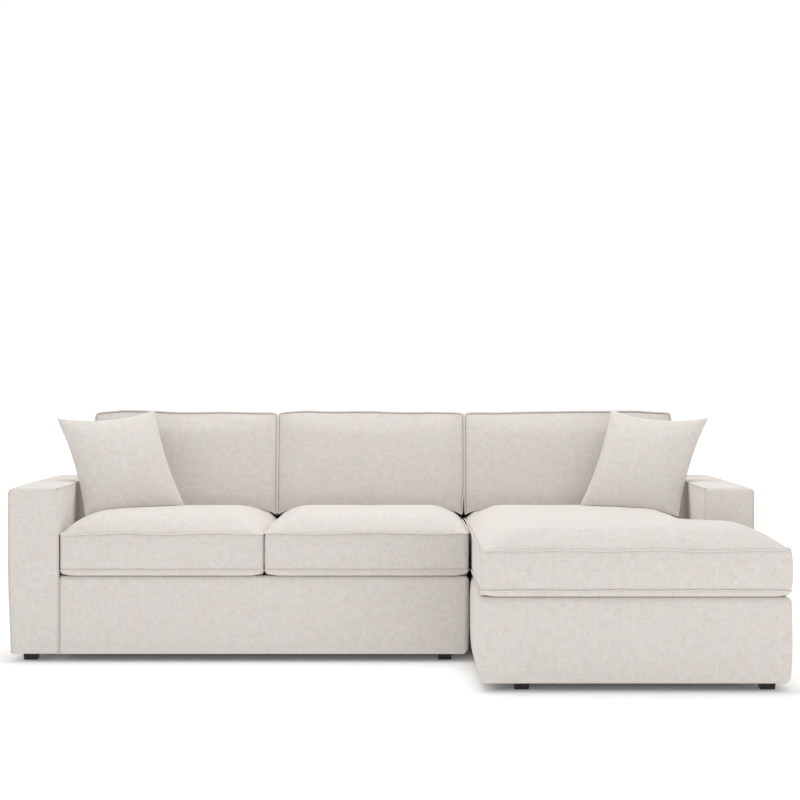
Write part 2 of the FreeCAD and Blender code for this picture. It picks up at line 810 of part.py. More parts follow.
def throw_pillow(hand, seat_x0, seat_x1, name):
    """Pillow turned towards the middle, leaned back in its corner and settled on the seat."""
    turn = FreeCAD.Rotation(vector(0, 0, 1), -hand * pillow_turn)
    lean = FreeCAD.Rotation(vector(1, 0, 0), right_angle - pillow_lean)
    roll = FreeCAD.Rotation(vector(0, 0, 1), -hand * pillow_roll)
    x = (seat_x0 if hand < 0 else seat_x1) - hand * pillow_from_arm
    centre = vector(x, back_inner_y - pillow_from_back, deck_height + pillow_over_deck)
    pose = FreeCAD.Placement(centre, turn * lean * roll)
    cover = pillow_form(pillow_side, pillow_depth, pillow_cells)
    insert_side = pillow_side - 2 * pillow_insert_inset
    insert = pillow_form(insert_side, pillow_depth - pillow_insert_inset, insert_cells)
    cover.Placement = pose
    insert.Placement = pose
    insert = insert.cut(crown_envelope(seat_x0, seat_x1, pillow_clearance + pillow_insert_inset))
    cover = cover.cut([insert, crown_envelope(seat_x0, seat_x1, pillow_clearance)])
    save(cover, name + "_cover")
    save(insert, name + "_insert")


def build_soft_goods():
    rear = back_inner_y - seat_rear_gap
    split = (left_seat_x + joint_x) / 2
    gap = cushion_side_gap
    spans = {"left": (left_seat_x + gap, split - gap / 2), "centre": (split + gap / 2, joint_x - gap)}
    for name, (x0, x1) in spans.items():
        seat_cushion([(x0, x1, front_y, rear)], rectangle(x0, x1, front_y, rear), "seat_cushion_" + name)
    x0, x1, x2 = chaise_x + gap, right_seat_x - gap, right_x - gap
    y1 = front_y - gap
    corners = [(x0, chaise_front_y), (x2, chaise_front_y), (x2, y1), (x1, y1), (x1, rear), (x0, rear)]
    seat_cushion([(x0, x1, chaise_front_y, rear), (x0, x2, chaise_front_y, y1)], corners, "chaise_cushion")
    back_cushion(left_seat_x + back_cushion_end_gap, split - back_cushion_split / 2, "back_cushion_left")
    back_cushion(split + back_cushion_split / 2, joint_x - gap, "back_cushion_centre")
    back_cushion(chaise_x + gap, right_seat_x - back_cushion_end_gap, "back_cushion_right")
    throw_pillow(-1, *spans["left"], "throw_pillow_left")
    throw_pillow(1, x0, x1, "throw_pillow_right")


def build_unit(unit, outline, side, arm_x0, arm_x1, outer_x, joint_side):
    corners, shown = outline
    brackets = bracket_screws(unit)
    feet = foot_screws(unit)
    save(drilled(base_cover(corners, shown), brackets), unit + "_base_cover")
    save(deck_cloth(corners, shown), unit + "_deck_cloth")
    save(drilled(base_wadding(corners, shown), brackets), unit + "_base_wadding")
    field, strip = dust_cover(corners, shown, arm_x0, arm_x1)
    save(joined([drilled(field, feet), drilled(strip, feet)]), unit + "_dust_cover")
    build_arm(unit, side, arm_x0, arm_x1, outer_x)
    xs = [x for x, y in corners if near(y, back_inner_y)]
    build_back(unit, min(xs), max(xs), joint_side)
    build_seat_webbing(unit)
    for place, (x, y) in foot_centres(unit).items():
        save(foot(x, y), "%s_foot_%s" % (unit, place))
    save(joined([screw_solid(screw) for screw in feet + brackets]), unit + "_screws")


os.makedirs("parts", exist_ok=True)
build_unit("loveseat", loveseat_outline(), "left", left_x, left_seat_x, left_x, 1)
build_unit("chaise", chaise_outline(), "right", right_seat_x, right_x, right_x, -1)
build_loveseat_rails()
build_chaise_rails()
build_connectors()
build_soft_goods()
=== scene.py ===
import json
import math

import bmesh
import bpy
from mathutils import Matrix, Vector, noise
from mathutils.bvhtree import BVHTree


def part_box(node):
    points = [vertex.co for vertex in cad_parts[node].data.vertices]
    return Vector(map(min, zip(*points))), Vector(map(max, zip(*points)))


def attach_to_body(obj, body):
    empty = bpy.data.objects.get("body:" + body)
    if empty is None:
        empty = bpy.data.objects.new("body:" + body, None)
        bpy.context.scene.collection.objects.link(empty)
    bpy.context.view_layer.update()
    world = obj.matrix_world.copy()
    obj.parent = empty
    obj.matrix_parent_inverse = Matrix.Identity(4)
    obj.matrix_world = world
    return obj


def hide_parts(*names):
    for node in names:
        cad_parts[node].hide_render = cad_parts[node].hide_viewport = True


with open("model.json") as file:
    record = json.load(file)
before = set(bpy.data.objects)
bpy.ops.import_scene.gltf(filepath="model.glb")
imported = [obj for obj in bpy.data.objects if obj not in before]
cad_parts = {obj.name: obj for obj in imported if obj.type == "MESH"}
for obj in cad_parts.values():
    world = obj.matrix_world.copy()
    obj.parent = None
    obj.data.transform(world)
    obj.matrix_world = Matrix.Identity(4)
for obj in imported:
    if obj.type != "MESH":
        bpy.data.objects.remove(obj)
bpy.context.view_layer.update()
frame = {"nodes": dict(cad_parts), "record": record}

# Metres, in the frame of the model: +X to the viewer's right, +Y to the back, +Z up.

# Cloth and panels
CELL = 0.0135
SEAM_ROW = 0.006
PANEL_CELL = 0.022
WELT = 0.0033
WELT_STAND = 0.0014
WELT_INSET = 0.0012
SEAM_DEPTH = 0.0018
SEAM = 0.0026
CORD_SIDES = 8

# Cloth simulation: how full the panels start, and how far each kind of panel may move
SWELL_FRAMES = 20
CLOTH = {"vertex_group_mass": "held", "quality": 5, "mass": 0.35, "tension_stiffness": 18.0,
         "compression_stiffness": 14.0, "shear_stiffness": 8.0, "bending_stiffness": 0.6,
         "use_pressure": True, "uniform_pressure_force": 4.0}
START_SHARE = 0.97
PILLOW_START_SHARE = 0.8
TOP_LIMIT = 0.010
FRONT_LIMIT = 0.005
END_LIMIT = 0.004
SIDE_LIMIT = 0.0012
BACK_LIMIT = 0.002
PILLOW_LIMIT = 0.018

# Boxed cushions
BOTTOM_WELT = 0.020
BOTTOM_ROWS = ((0.0, 0.0145), (0.0018, 0.0065), (0.0075, 0.0015))
SEAT_BOXING = 0.132
SEAT_CROWN = 0.068
SEAT_REACH = 0.155
SEAT_CORNER = 0.015
BACK_THICKNESS = 0.165
BACK_CROWN = 0.030
BACK_REACH = 0.120
BACK_CORNER = 0.012
REST_HEIGHT = 0.495
RECLINE = math.radians(7.5)
SOFT_GAP = 0.0004
PRESS_START = 0.110
PRESS_RUN = 0.116
FOOT_MARGIN = 0.004
FOOT_DROP = 0.017
FOOT_DROP_REACH = 0.050
CENTRE_FLARE = 0.008
CHAISE_END_BULGE = 0.007
SEAT_CORNER_LIFT = 0.013
SEAT_UNEVENNESS = 0.0028
BACK_UNEVENNESS = 0.0032
SEAT_SEAM_WAVE = 0.0075
BACK_SEAM_WAVE = 0.004
BACK_SWAY = 0.009

# Throw pillows
PILLOW_SIDE = 0.422
PILLOW_DEPTH = 0.062
PILLOW_DRAW = {"side": 0.018, "top": 0.030, "foot": 0.008}
PILLOW_FULLNESS = 0.55
PILLOW_CENTRE = (1.0110, 0.333, 0.702)
PILLOW_TURN = math.radians(32.0)
PILLOW_LEAN = math.radians(28.7)
PILLOW_ROLL = math.radians(4.5)
PILLOW_CELLS = 34
PILLOW_GAP = 0.0006

# Arms, bases and back rests
EDGE_ROWS = (0.0, 0.003, 0.0065, 0.012)
HEM = 0.040
ARM_HEM = 0.038
BASE_ROUND = 0.020
FOOT_ROUND = 0.008
SIDE_ROUND = 0.020
SIDE_DRAW = 0.004
ARM_DRAW = 0.0125
ARM_SEAM_BEND = 0.0175
INNER_SEAM_INSET = 0.0018
OUTER_SEAM_INSET = 0.0010
SOFT_EDGE = 0.018
SEAMED_EDGE = 0.008
UNDER_EDGE = 0.007
BACK_ROUNDS = ((0.003, 0.003), (0.020, 0.014), (UNDER_EDGE, 0.022))
PANEL_BULGE = 0.004
TUCK = 0.030
CLOTH_TURN = 0.004


# Materials

def add(tree, kind, inputs=(), **settings):
    """New node; inputs are sockets to link or values to set."""
    node = tree.nodes.new(kind)
    for key, value in settings.items():
        setattr(node, key, value)
    for key, value in dict(inputs).items():
        if isinstance(value, bpy.types.NodeSocket):
            tree.links.new(value, node.inputs[key])
        else:
            node.inputs[key].default_value = value
    return node


def maths(tree, operation, first, second=0.0):
    return add(tree, "ShaderNodeMath", {0: first, 1: second}, operation=operation).outputs[0]


def plus(tree, *values):
    total = values[0]
    for value in values[1:]:
        total = maths(tree, "ADD", total, value)
    return total


def times(tree, first, second):
    return maths(tree, "MULTIPLY", first, second)


def vector_maths(tree, operation, *values):
    return add(tree, "ShaderNodeVectorMath", enumerate(values), operation=operation).outputs


def streaks(tree, place, scale, detail=2.0, roughness=0.5):
    """Noise drawn out into threads, which run along the axis of the lower scale."""
    scaled = vector_maths(tree, "MULTIPLY", place, scale)[0]
    return add(tree, "ShaderNodeTexNoise",
               {"Vector": scaled, "Scale": 1.0, "Detail": detail, "Roughness": roughness}).outputs["Fac"]


def spread(tree, value, low, high, start=0.0, end=1.0, **settings):
    """Stretch a band of values over the whole of 0 to 1, or over another range."""
    inputs = {"Value": value, "From Min": low, "From Max": high, "To Min": start, "To Max": end}
    return add(tree, "ShaderNodeMapRange", inputs, **settings).outputs["Result"]


def mix(tree, share, first, second, **settings):
    inputs = {"Factor": share, 6: first, 7: second}
    return add(tree, "ShaderNodeMix", inputs, data_type="RGBA", **settings).outputs[2]


def start_material(name, roughness, **constants):
    material = bpy.data.materials.new(name)
    material.use_nodes = True
    tree = material.node_tree
    shader = tree.nodes["Principled BSDF"]
    shader.inputs["Roughness"].default_value = roughness
    for key, value in constants.items():
        shader.inputs[key.replace("_", " ")].default_value = value
    return material, tree, shader


def bump(tree, shader, height, distance, strength):
    node = add(tree, "ShaderNodeBump", {"Height": height, "Distance": distance, "Strength": strength})
    tree.links.new(node.outputs["Normal"], shader.inputs["Normal"])


def woven(name, dark, light, thread, slub, slub_depth, fuzz):
    """Plain weave whose threads run along the panel's own two directions, with slubs here and there."""
    material, tree, shader = start_material(name, 0.92, Sheen_Weight=fuzz, Sheen_Roughness=0.6,
                                            Specular_IOR_Level=0.15)
    place = add(tree, "ShaderNodeAttribute", attribute_name="weave").outputs["Vector"]
    parts = add(tree, "ShaderNodeSeparateXYZ", {0: place}).outputs
    crossing = times(tree, *(maths(tree, "SINE", times(tree, part, math.pi / thread)) for part in parts[:2]))

    def both_ways(size, drawn_out, layer, detail, low, high):
        """Noise drawn out along the warp plus the same along the weft."""
        along = spread(tree, streaks(tree, place, (size, size / drawn_out, layer), detail), low, high)
        across = spread(tree, streaks(tree, place, (size / drawn_out, size, layer), detail), low, high)
        return plus(tree, along, across)

    threads = both_ways(1 / (2 * thread), 11, 1.0, 2.0, 0.3, 0.7)
    slubs = both_ways(1 / slub, 6, 2.0, 1.0, 0.57, 0.75)
    dark_slubs = both_ways(1 / slub, 5, 5.0, 1.0, 0.57, 0.75)
    mottle = spread(tree, streaks(tree, place, (38.0, 38.0, 9.0)), 0.3, 0.7)
    flecks = times(tree, maths(tree, "SUBTRACT", slubs, dark_slubs), slub_depth)
    tone = plus(tree, times(tree, threads, 0.03), flecks, times(tree, mottle, 0.35), 0.27)
    drift = spread(tree, streaks(tree, place, (13.0, 17.0, 4.0), 3.0), 0.35, 0.65)
    plain = mix(tree, tone, (*dark, 1.0), (*light, 1.0))
    tinted = mix(tree, drift, (1.0, 0.992, 0.98, 1.0), (0.992, 1.0, 1.008, 1.0))
    colour = mix(tree, 1.0, plain, tinted, blend_type="MULTIPLY")
    # Painted shade: the cloth is darkened along the seams, by the seam attribute, where shade would fall in
    # the seam's hollow
    seam_shade = times(tree, add(tree, "ShaderNodeAttribute", attribute_name="seam").outputs["Fac"], 0.5)
    shade = mix(tree, seam_shade, colour, (0.52, 0.50, 0.47, 1.0), blend_type="MULTIPLY")
    tree.links.new(shade, shader.inputs["Base Color"])
    bump(tree, shader, plus(tree, times(tree, crossing, 0.3), threads, slubs), 0.0005, 0.22)
    return material


def make_timber():
    material, tree, shader = start_material("timber", 0.62)
    place = add(tree, "ShaderNodeTexCoord").outputs["Object"]
    grain = streaks(tree, place, (14.0, 60.0, 60.0), 4.0, 0.6)
    pores = streaks(tree, place, (60.0, 700.0, 700.0), 2.0)
    tone = plus(tree, times(tree, spread(tree, grain, 0.3, 0.7), 0.75), times(tree, pores, 0.25))
    tree.links.new(mix(tree, tone, (0.42, 0.27, 0.14, 1.0), (0.70, 0.52, 0.32, 1.0)),
                   shader.inputs["Base Color"])
    bump(tree, shader, pores, 0.0004, 0.4)
    return material


def speckled(name, dark, light, scale, roughness, depth, metallic):
    """Plain surface with a fine uneven grain, such as moulded plastic, felt, foam or plated steel."""
    material, tree, shader = start_material(name, roughness, Metallic=metallic)
    place = add(tree, "ShaderNodeTexCoord").outputs["Object"]
    grain = streaks(tree, place, (scale, scale, scale), 3.0)
    cloud = streaks(tree, place, (9.0, 9.0, 9.0), 2.0)
    tone = plus(tree, times(tree, grain, 0.5), times(tree, cloud, 0.5))
    tree.links.new(mix(tree, spread(tree, tone, 0.35, 0.65), (*dark, 1.0), (*light, 1.0)),
                   shader.inputs["Base Color"])
    rough = spread(tree, cloud, 0.3, 0.7, max(roughness - 0.08, 0.0), roughness + 0.06)
    tree.links.new(rough, shader.inputs["Roughness"])
    bump(tree, shader, grain, depth, 0.5)
    return material


COVER_WEAVE = (0.0011, 0.0050, 0.42, 0.10)
upholstery = woven("upholstery", (0.64, 0.601, 0.567), (0.76, 0.721, 0.684), *COVER_WEAVE)
# Painted shade: the pillows' cover is the same cloth as the upholstery, made about 7 % darker to take down
# the extra light they get on their backward lean
pillow_shaded_cloth = woven("pillow_upholstery_shaded", (0.595, 0.558, 0.527), (0.707, 0.670, 0.636), *COVER_WEAVE)
deck_fabric = woven("deck_cloth", (0.46, 0.43, 0.38), (0.60, 0.565, 0.51), 0.0007, 0.002, 0.1, 0.05)
cambric = woven("cambric", (0.012, 0.012, 0.012), (0.035, 0.034, 0.033), 0.0006, 0.003, 0.5, 0.1)
node_materials = {"upholstery": upholstery, "deck_cloth": deck_fabric, "cambric": cambric,
                  "timber": make_timber()}
for name, dark, light, scale, roughness, depth, metallic in (
        ("foot_plastic", (0.010, 0.009, 0.008), (0.022, 0.019, 0.017), 900.0, 0.38, 0.0001, 0.0),
        ("zinc_steel", (0.42, 0.42, 0.43), (0.62, 0.62, 0.60), 1200.0, 0.34, 0.00005, 1.0),
        ("wadding", (0.70, 0.69, 0.66), (0.86, 0.85, 0.82), 260.0, 0.95, 0.0015, 0.0),
        ("filling", (0.74, 0.70, 0.55), (0.86, 0.83, 0.70), 500.0, 0.9, 0.0008, 0.0),
        ("webbing", (0.02, 0.018, 0.016), (0.09, 0.085, 0.08), 700.0, 0.85, 0.0005, 0.0)):
    node_materials[name] = speckled(name, dark, light, scale, roughness, depth, metallic)


# Meshes

def new_object(name, data):
    thing = bpy.data.objects.new(name, data)
    bpy.context.scene.collection.objects.link(thing)
    return thing


def new_piece(name, vertices, faces, material):
    mesh = bpy.data.meshes.new(name)
    mesh.from_pydata(vertices, [], faces)
    mesh.update()
    mesh.materials.append(material)
    piece = new_object(name, mesh)
    return piece


def face_outwards(piece):
    shape = bmesh.new()
    shape.from_mesh(piece.data)
    bmesh.ops.recalc_face_normals(shape, faces=shape.faces)
    shape.to_mesh(piece.data)
    shape.free()


def subdivide(piece):
    modifier = piece.modifiers.new("smooth", "SUBSURF")
    modifier.levels = modifier.render_levels = 1
    view = bpy.context.evaluated_depsgraph_get()
    mesh = bpy.data.meshes.new_from_object(piece.evaluated_get(view))
    piece.modifiers.clear()
    piece.data = mesh


def lay_weave(piece, pose=None):
    """Thread directions of each face: the two axes of the piece's own frame that it lies along."""
    mesh = piece.data
    back = (pose or Matrix.Identity(4)).inverted()
    turn = back.to_3x3()
    local = [back @ vertex.co for vertex in mesh.vertices]
    weave = mesh.attributes.new("weave", "FLOAT_VECTOR", "CORNER")
    values = [0.0] * (3 * len(mesh.loops))
    for polygon in mesh.polygons:
        normal = turn @ polygon.normal
        facing = max(range(3), key=lambda axis: abs(normal[axis]))
        first, second = [axis for axis in range(3) if axis != facing]
        for loop in polygon.loop_indices:
            point = local[mesh.loops[loop].vertex_index]
            values[3 * loop:3 * loop + 3] = point[first], point[second], float(facing)
    weave.data.foreach_set("vector", values)
    mesh.shade_smooth()


def wave(point, size, seed):
    """Smooth unevenness from -1 to 1 about as long as size."""
    return noise.noise(Vector(point) / size + Vector((seed, seed * 0.37, -seed)))


def smooth_path(points, closed):
    """Catmull-Rom curve through the points, with one more point halfway between each two."""
    count = len(points)
    path = []
    for index in range(count if closed else count - 1):
        if closed:
            a, b, c, d = (points[(index + offset) % count] for offset in (-1, 0, 1, 2))
        else:
            a, b, c, d = (points[min(max(index + offset, 0), count - 1)] for offset in (-1, 0, 1, 2))
        path += [b, (9 * (b + c) - a - d) / 16]
    if not closed:
        path.append(points[-1])
    return path


def cord_mesh(name, points, radius, closed):
    """Fabric-covered piping along a path, with its threads laid slantwise as bias-cut piping has them."""
    path = smooth_path([Vector(point) for point in points], closed)
    count, sides = len(path), CORD_SIDES
    vertices, faces, places = [], [], []
    side = None
    length = 0.0
    for index, point in enumerate(path):
        before = path[index - 1] if closed or index else point
        after = path[(index + 1) % count] if closed or index < count - 1 else point
        along = (after - before).normalized()
        if side is None:
            side = along.orthogonal()
        side = (side - along * side.dot(along)).normalized()
        other = along.cross(side)
        thickness = radius * (1 + 0.06 * wave(point, 0.03, 5.0))
        for step in range(sides):
            angle = 2 * math.pi * step / sides
            vertices.append(point + thickness * (side * math.cos(angle) + other * math.sin(angle)))
            places.append((length + radius * angle, radius * angle - length, 0.0))
        length += (after - point).length
    rings = count if closed else count - 1
    corners = []
    for index in range(rings):
        following = (index + 1) % count
        for step in range(sides):
            turn = (step + 1) % sides
            near, far = index * sides + step, following * sides + step
            faces.append((near, index * sides + turn, following * sides + turn, far))
            corners += [places[near], places[near], places[far], places[far]]
    if not closed:
        faces.append(tuple(reversed(range(sides))))
        faces.append(tuple((count - 1) * sides + step for step in range(sides)))
        corners += [places[0]] * sides + [places[(count - 1) * sides]] * sides
    piece = new_piece(name, vertices, faces, upholstery)
    face_outwards(piece)
    weave = piece.data.attributes.new("weave", "FLOAT_VECTOR", "CORNER")
    weave.data.foreach_set("vector", [value for corner in corners for value in corner])
    piece.data.shade_smooth()
    return piece


def paint_seam_shade(piece, values):
    """Painted shade along the seams: from 0 to 1 at each point, how much the material darkens the cloth
    there.
    """
    seam_shade = piece.data.attributes.new("seam", "FLOAT", "POINT")
    seam_shade.data.foreach_set("value", values)


def attach(piece, body, *nodes):
    if nodes:
        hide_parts(*nodes)
    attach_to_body(piece, body)


# Cushion forms

def lines(stops, cell):
    """Grid lines through all the stops, evenly spaced between them."""
    result = [stops[0]]
    for first, last in zip(stops, stops[1:]):
        count = max(1, round(abs(last - first) / cell))
        result += [first + (last - first) * step / count for step in range(1, count + 1)]
    return result


def clamp(share):
    return min(max(share, 0.0), 1.0)


def ramp(distance, reach):
    """0 at an edge, 1 from the reach on, steep at first."""
    return 1 - (1 - clamp(distance / reach)) ** 3


def hump(share):
    """0 at both ends, 1 in the middle, with a broad top."""
    return 1 - (2 * clamp(share) - 1) ** 4


def in_plan(point):
    return Vector((point.x, point.y, 0))


def shares(point, low, high):
    """How far along the box a point lies in each direction, from 0 to 1."""
    return [(point[axis] - low[axis]) / (high[axis] - low[axis]) for axis in range(3)]


def crown(areas, x, y, reach):
    """Height of the crown, from 0 at the welts to 1, over one or two overlapping rectangles."""
    best = 0.0
    for number, (x0, x1, y0, y1) in enumerate(areas):
        if x0 <= x <= x1 and y0 <= y <= y1:
            height = ramp(x - x0, reach) * ramp(x1 - x, reach) * ramp(y - y0, reach)
            height *= ramp(y1 - y, 1.7 * reach) * 0.9 if number else ramp(y1 - y, reach)
            best = max(best, height)
    return best


class Plan:
    """Grid over the cushion's outline, with its convex corners rounded, and its rim in order."""

    def __init__(self, areas, radius):
        self.radius = radius
        edges_x = {x for area in areas for x in area[:2]}
        edges_y = {y for area in areas for y in area[2:]}
        edges_x |= {min(edges_x) + SEAM_ROW, max(edges_x) - SEAM_ROW}
        edges_y |= {min(edges_y) + SEAM_ROW, max(edges_y) - SEAM_ROW}
        xs = lines(sorted(edges_x), CELL)
        ys = lines(sorted(edges_y), CELL)
        self.cells = set()
        for i in range(len(xs) - 1):
            for j in range(len(ys) - 1):
                x = (xs[i] + xs[i + 1]) / 2
                y = (ys[j] + ys[j + 1]) / 2
                if any(x0 < x < x1 and y0 < y < y1 for x0, x1, y0, y1 in areas):
                    self.cells.add((i, j))
        self.grid = {}
        follow = {}
        for i, j in self.cells:
            ring = ((i, j), (i + 1, j), (i + 1, j + 1), (i, j + 1))
            neighbours = ((i, j - 1), (i + 1, j), (i, j + 1), (i - 1, j))
            for first, last, beside in zip(ring, ring[1:] + ring[:1], neighbours):
                self.grid[first] = (xs[first[0]], ys[first[1]])
                if beside not in self.cells:
                    follow[first] = last
        self.rim = [min(follow)]
        while follow[self.rim[-1]] != self.rim[0]:
            self.rim.append(follow[self.rim[-1]])
        self.corners = []
        for corner in self.rim:
            i, j = corner
            owners = [cell for cell in ((i, j), (i - 1, j), (i, j - 1), (i - 1, j - 1)) if cell in self.cells]
            if len(owners) == 1:
                toward = (1 if owners[0][0] == i else -1, 1 if owners[0][1] == j else -1)
                self.corners.append((self.grid[corner], toward))
        self.place = {key: self.rounded(*point) for key, point in self.grid.items()}
        count = len(self.rim)
        self.inward = []
        for index in range(count):
            before = self.place[self.rim[index - 1]]
            after = self.place[self.rim[(index + 1) % count]]
            run = Vector((after[0] - before[0], after[1] - before[1])).normalized()
            self.inward.append((-run.y, run.x))

    def rounded(self, x, y):
        for (cx, cy), (to_x, to_y) in self.corners:
            u = 1 - (x - cx) * to_x / self.radius
            v = 1 - (y - cy) * to_y / self.radius
            if 0 <= u <= 1 and 0 <= v <= 1:
                return (cx + to_x * self.radius * (1 - u * math.sqrt(1 - v * v / 2)),
                        cy + to_y * self.radius * (1 - v * math.sqrt(1 - u * u / 2)))
        return x, y


def bands(loops):
    """Faces between each closed loop of points and the next."""
    faces = []
    for upper, lower in zip(loops, loops[1:]):
        for index in range(len(upper)):
            after = (index + 1) % len(upper)
            faces.append((upper[index], lower[index], lower[after], upper[after]))
    return faces


def boxed_form(areas, radius, thickness, rise, reach):
    """Closed cushion mesh from 0 up: vertices, faces and the rims where the piping goes."""
    plan = Plan(areas, radius)
    vertices, faces = [], []
    top = {}
    for key, (x, y) in plan.place.items():
        top[key] = len(vertices)
        vertices.append(Vector((x, y, thickness + rise * crown(areas, x, y, reach))))
    faces += [(top[i, j], top[i + 1, j], top[i + 1, j + 1], top[i, j + 1]) for i, j in plan.cells]
    stops = [BOTTOM_WELT, BOTTOM_WELT + SEAM_ROW, thickness - SEAM_ROW, thickness]
    levels = [(0.0, z) for z in reversed(lines(stops, CELL)[:-1])]
    levels += BOTTOM_ROWS
    loops = [[top[key] for key in plan.rim]]
    for inset, z in levels:
        loop = []
        for key, inward in zip(plan.rim, plan.inward):
            x, y = plan.place[key]
            loop.append(len(vertices))
            vertices.append(Vector((x + inward[0] * inset, y + inward[1] * inset, z)))
        loops.append(loop)
    faces += bands(loops)
    bottom = dict(zip(plan.rim, loops[-1]))
    for key, (x, y) in plan.place.items():
        if key not in bottom:
            bottom[key] = len(vertices)
            vertices.append(Vector((x, y, 0.0)))
    faces += [(bottom[i, j], bottom[i, j + 1], bottom[i + 1, j + 1], bottom[i + 1, j]) for i, j in plan.cells]
    last = len(loops) - 1 - len(BOTTOM_ROWS)
    kinds = {"top": [index for key, index in top.items() if key not in plan.rim],
             "side": [index for loop in loops[1:last] for index in loop],
             "upper_rim": loops[0], "lower_rim": loops[last],
             "outward": [Vector((-x, -y, 0.0)) for x, y in plan.inward],
             "corners": [Vector((x, y, 0.0)) for (x, y), toward in plan.corners]}
    return vertices, faces, kinds


def swell(jobs):
    """Blow up the free panels under cloth pressure while the rest stays; limits cap each point's way."""
    scene = bpy.context.scene
    start = scene.frame_current
    for piece, limits in jobs:
        group = piece.vertex_groups.new(name="held")
        group.add([index for index, limit in enumerate(limits) if limit == 0.0], 1.0, "REPLACE")
        cloth = piece.modifiers.new("cloth", "CLOTH")
        for key, value in CLOTH.items():
            setattr(cloth.settings, key, value)
        cloth.settings.effector_weights.gravity = 0.0
        cloth.point_cache.frame_start = 1
        cloth.point_cache.frame_end = SWELL_FRAMES
    for step in range(1, SWELL_FRAMES + 1):
        scene.frame_set(step)
    view = bpy.context.evaluated_depsgraph_get()
    results = [[vertex.co.copy() for vertex in piece.evaluated_get(view).data.vertices]
               for piece, limits in jobs]
    for (piece, limits), after in zip(jobs, results):
        piece.modifiers.clear()
        piece.vertex_groups.clear()
        for vertex, limit, point in zip(piece.data.vertices, limits, after):
            move = point - vertex.co
            vertex.co += move * (limit / move.length) if move.length > limit else move
        piece.data.update()
    scene.frame_set(start)


# The boxed seat cushions and back cushions

cushions = []


def start_cushion(name, areas, pose, seat, side_limit, flare=0.0):
    """Flare is how far the right end's front stands out beyond its rear, from a little above the foot."""
    if seat:
        thickness, rise, reach, radius = BOTTOM_WELT + SEAT_BOXING, SEAT_CROWN, SEAT_REACH, SEAT_CORNER
    else:
        thickness, rise, reach, radius = BACK_THICKNESS, BACK_CROWN, BACK_REACH, BACK_CORNER
    share = START_SHARE
    vertices, faces, kinds = boxed_form(areas, radius, thickness, rise * share, reach)
    for vertex in vertices if flare else ():
        end = max(0.0, 1 - (areas[0][1] - vertex.x) / 0.1)
        vertex.x += flare * end * clamp((vertex.y - 0.01) / 0.06) * min(vertex.z / thickness, 1.0)
    piece = new_piece(name, vertices, faces, upholstery)
    rims = set(kinds["upper_rim"]) | set(kinds["lower_rim"])
    # Painted shade along the upper and lower piping rims
    paint_seam_shade(piece, [1.0 if index in rims else 0.0 for index in range(len(vertices))])
    limits = [0.0] * len(vertices)
    for index in kinds["top"]:
        limits[index] = TOP_LIMIT
    for index in kinds["side"]:
        limits[index] = side_limit(vertices[index])
    cushions.append({"name": name, "seat": seat, "piece": piece, "kinds": kinds, "pose": pose, "areas": areas,
                     "thickness": thickness, "rise": rise, "limits": limits})


def seat_limit(front, right=math.inf):
    """The front may bulge, and the right end where nothing stands beside it."""
    return lambda point: (FRONT_LIMIT if point.y < front + 0.01 else
                          END_LIMIT if point.x > right - 0.01 else SIDE_LIMIT)


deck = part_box("seat_cushion_left_cover")[0].z
on_deck = Matrix.Translation((0, 0, deck))
for name in ("seat_cushion_left", "seat_cushion_centre"):
    low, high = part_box(name + "_cover")
    start_cushion(name, [(low.x, high.x, low.y, high.y)], on_deck, True, seat_limit(low.y))
low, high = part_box("chaise_cushion_cover")
arm_low, arm_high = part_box("right_arm_cover")
inner_x = arm_low.x - (arm_high.x - high.x)
lug_y = arm_low.y - (arm_high.x - high.x)
areas = [(low.x, inner_x, low.y, high.y), (low.x, high.x, low.y, lug_y)]
start_cushion("chaise_cushion", areas, on_deck, True, seat_limit(low.y, high.x))
chaise_end = high.x
seat_ends = [edge for item in cushions for edge in item["areas"][0][:2]]

seat_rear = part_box("loveseat_deck_cloth")[1].y + HEM
rest_face = seat_rear + (REST_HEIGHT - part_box("loveseat_base_cover")[1].z) * math.tan(RECLINE)
lean = Matrix.Translation((0, rest_face - SOFT_GAP / math.cos(RECLINE), REST_HEIGHT)) \
    @ Matrix.Rotation(math.pi / 2 - RECLINE, 4, "X")
for name in ("back_cushion_left", "back_cushion_centre", "back_cushion_right"):
    low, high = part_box(name + "_cover")
    thickness = SOFT_GAP + BACK_THICKNESS
    foot = -thickness * math.tan(RECLINE) - FOOT_MARGIN - FOOT_DROP
    head = (high.z - REST_HEIGHT - thickness * math.sin(RECLINE)) / math.cos(RECLINE)
    start_cushion(name, [(low.x, high.x, foot, head)], lean, False, lambda point: BACK_LIMIT,
                  CENTRE_FLARE if name == "back_cushion_centre" else 0.0)


# Throw pillows, which swell in the same simulation as the cushions

def pillow_vertices(cells):
    stations = [math.sin(math.pi / 2 * (2 * index / cells - 1)) for index in range(cells + 1)]
    half = PILLOW_SIDE / 2
    vertices, faces, edge = [], [], {}
    share = PILLOW_START_SHARE
    for face in (1, -1):
        keys = {}
        for i, u in enumerate(stations):
            for j, v in enumerate(stations):
                rim = i in (0, cells) or j in (0, cells)
                if rim and (i, j) in edge:
                    keys[i, j] = edge[i, j]
                    continue
                x = u * (half - PILLOW_DRAW["side"] * u * u * (1 - v * v))
                y = v * (half - PILLOW_DRAW["top" if v > 0 else "foot"] * v * v * (1 - u * u))
                full = max((1 - u * u) * (1 - v * v), 0.0) ** PILLOW_FULLNESS
                keys[i, j] = len(vertices)
                if rim:
                    edge[i, j] = len(vertices)
                vertices.append(Vector((x, y, face * PILLOW_DEPTH * share * full)))
        for i in range(cells):
            for j in range(cells):
                ring = (keys[i, j], keys[i + 1, j], keys[i + 1, j + 1], keys[i, j + 1])
                faces.append(ring if face > 0 else tuple(reversed(ring)))
    return vertices, faces, set(edge.values())


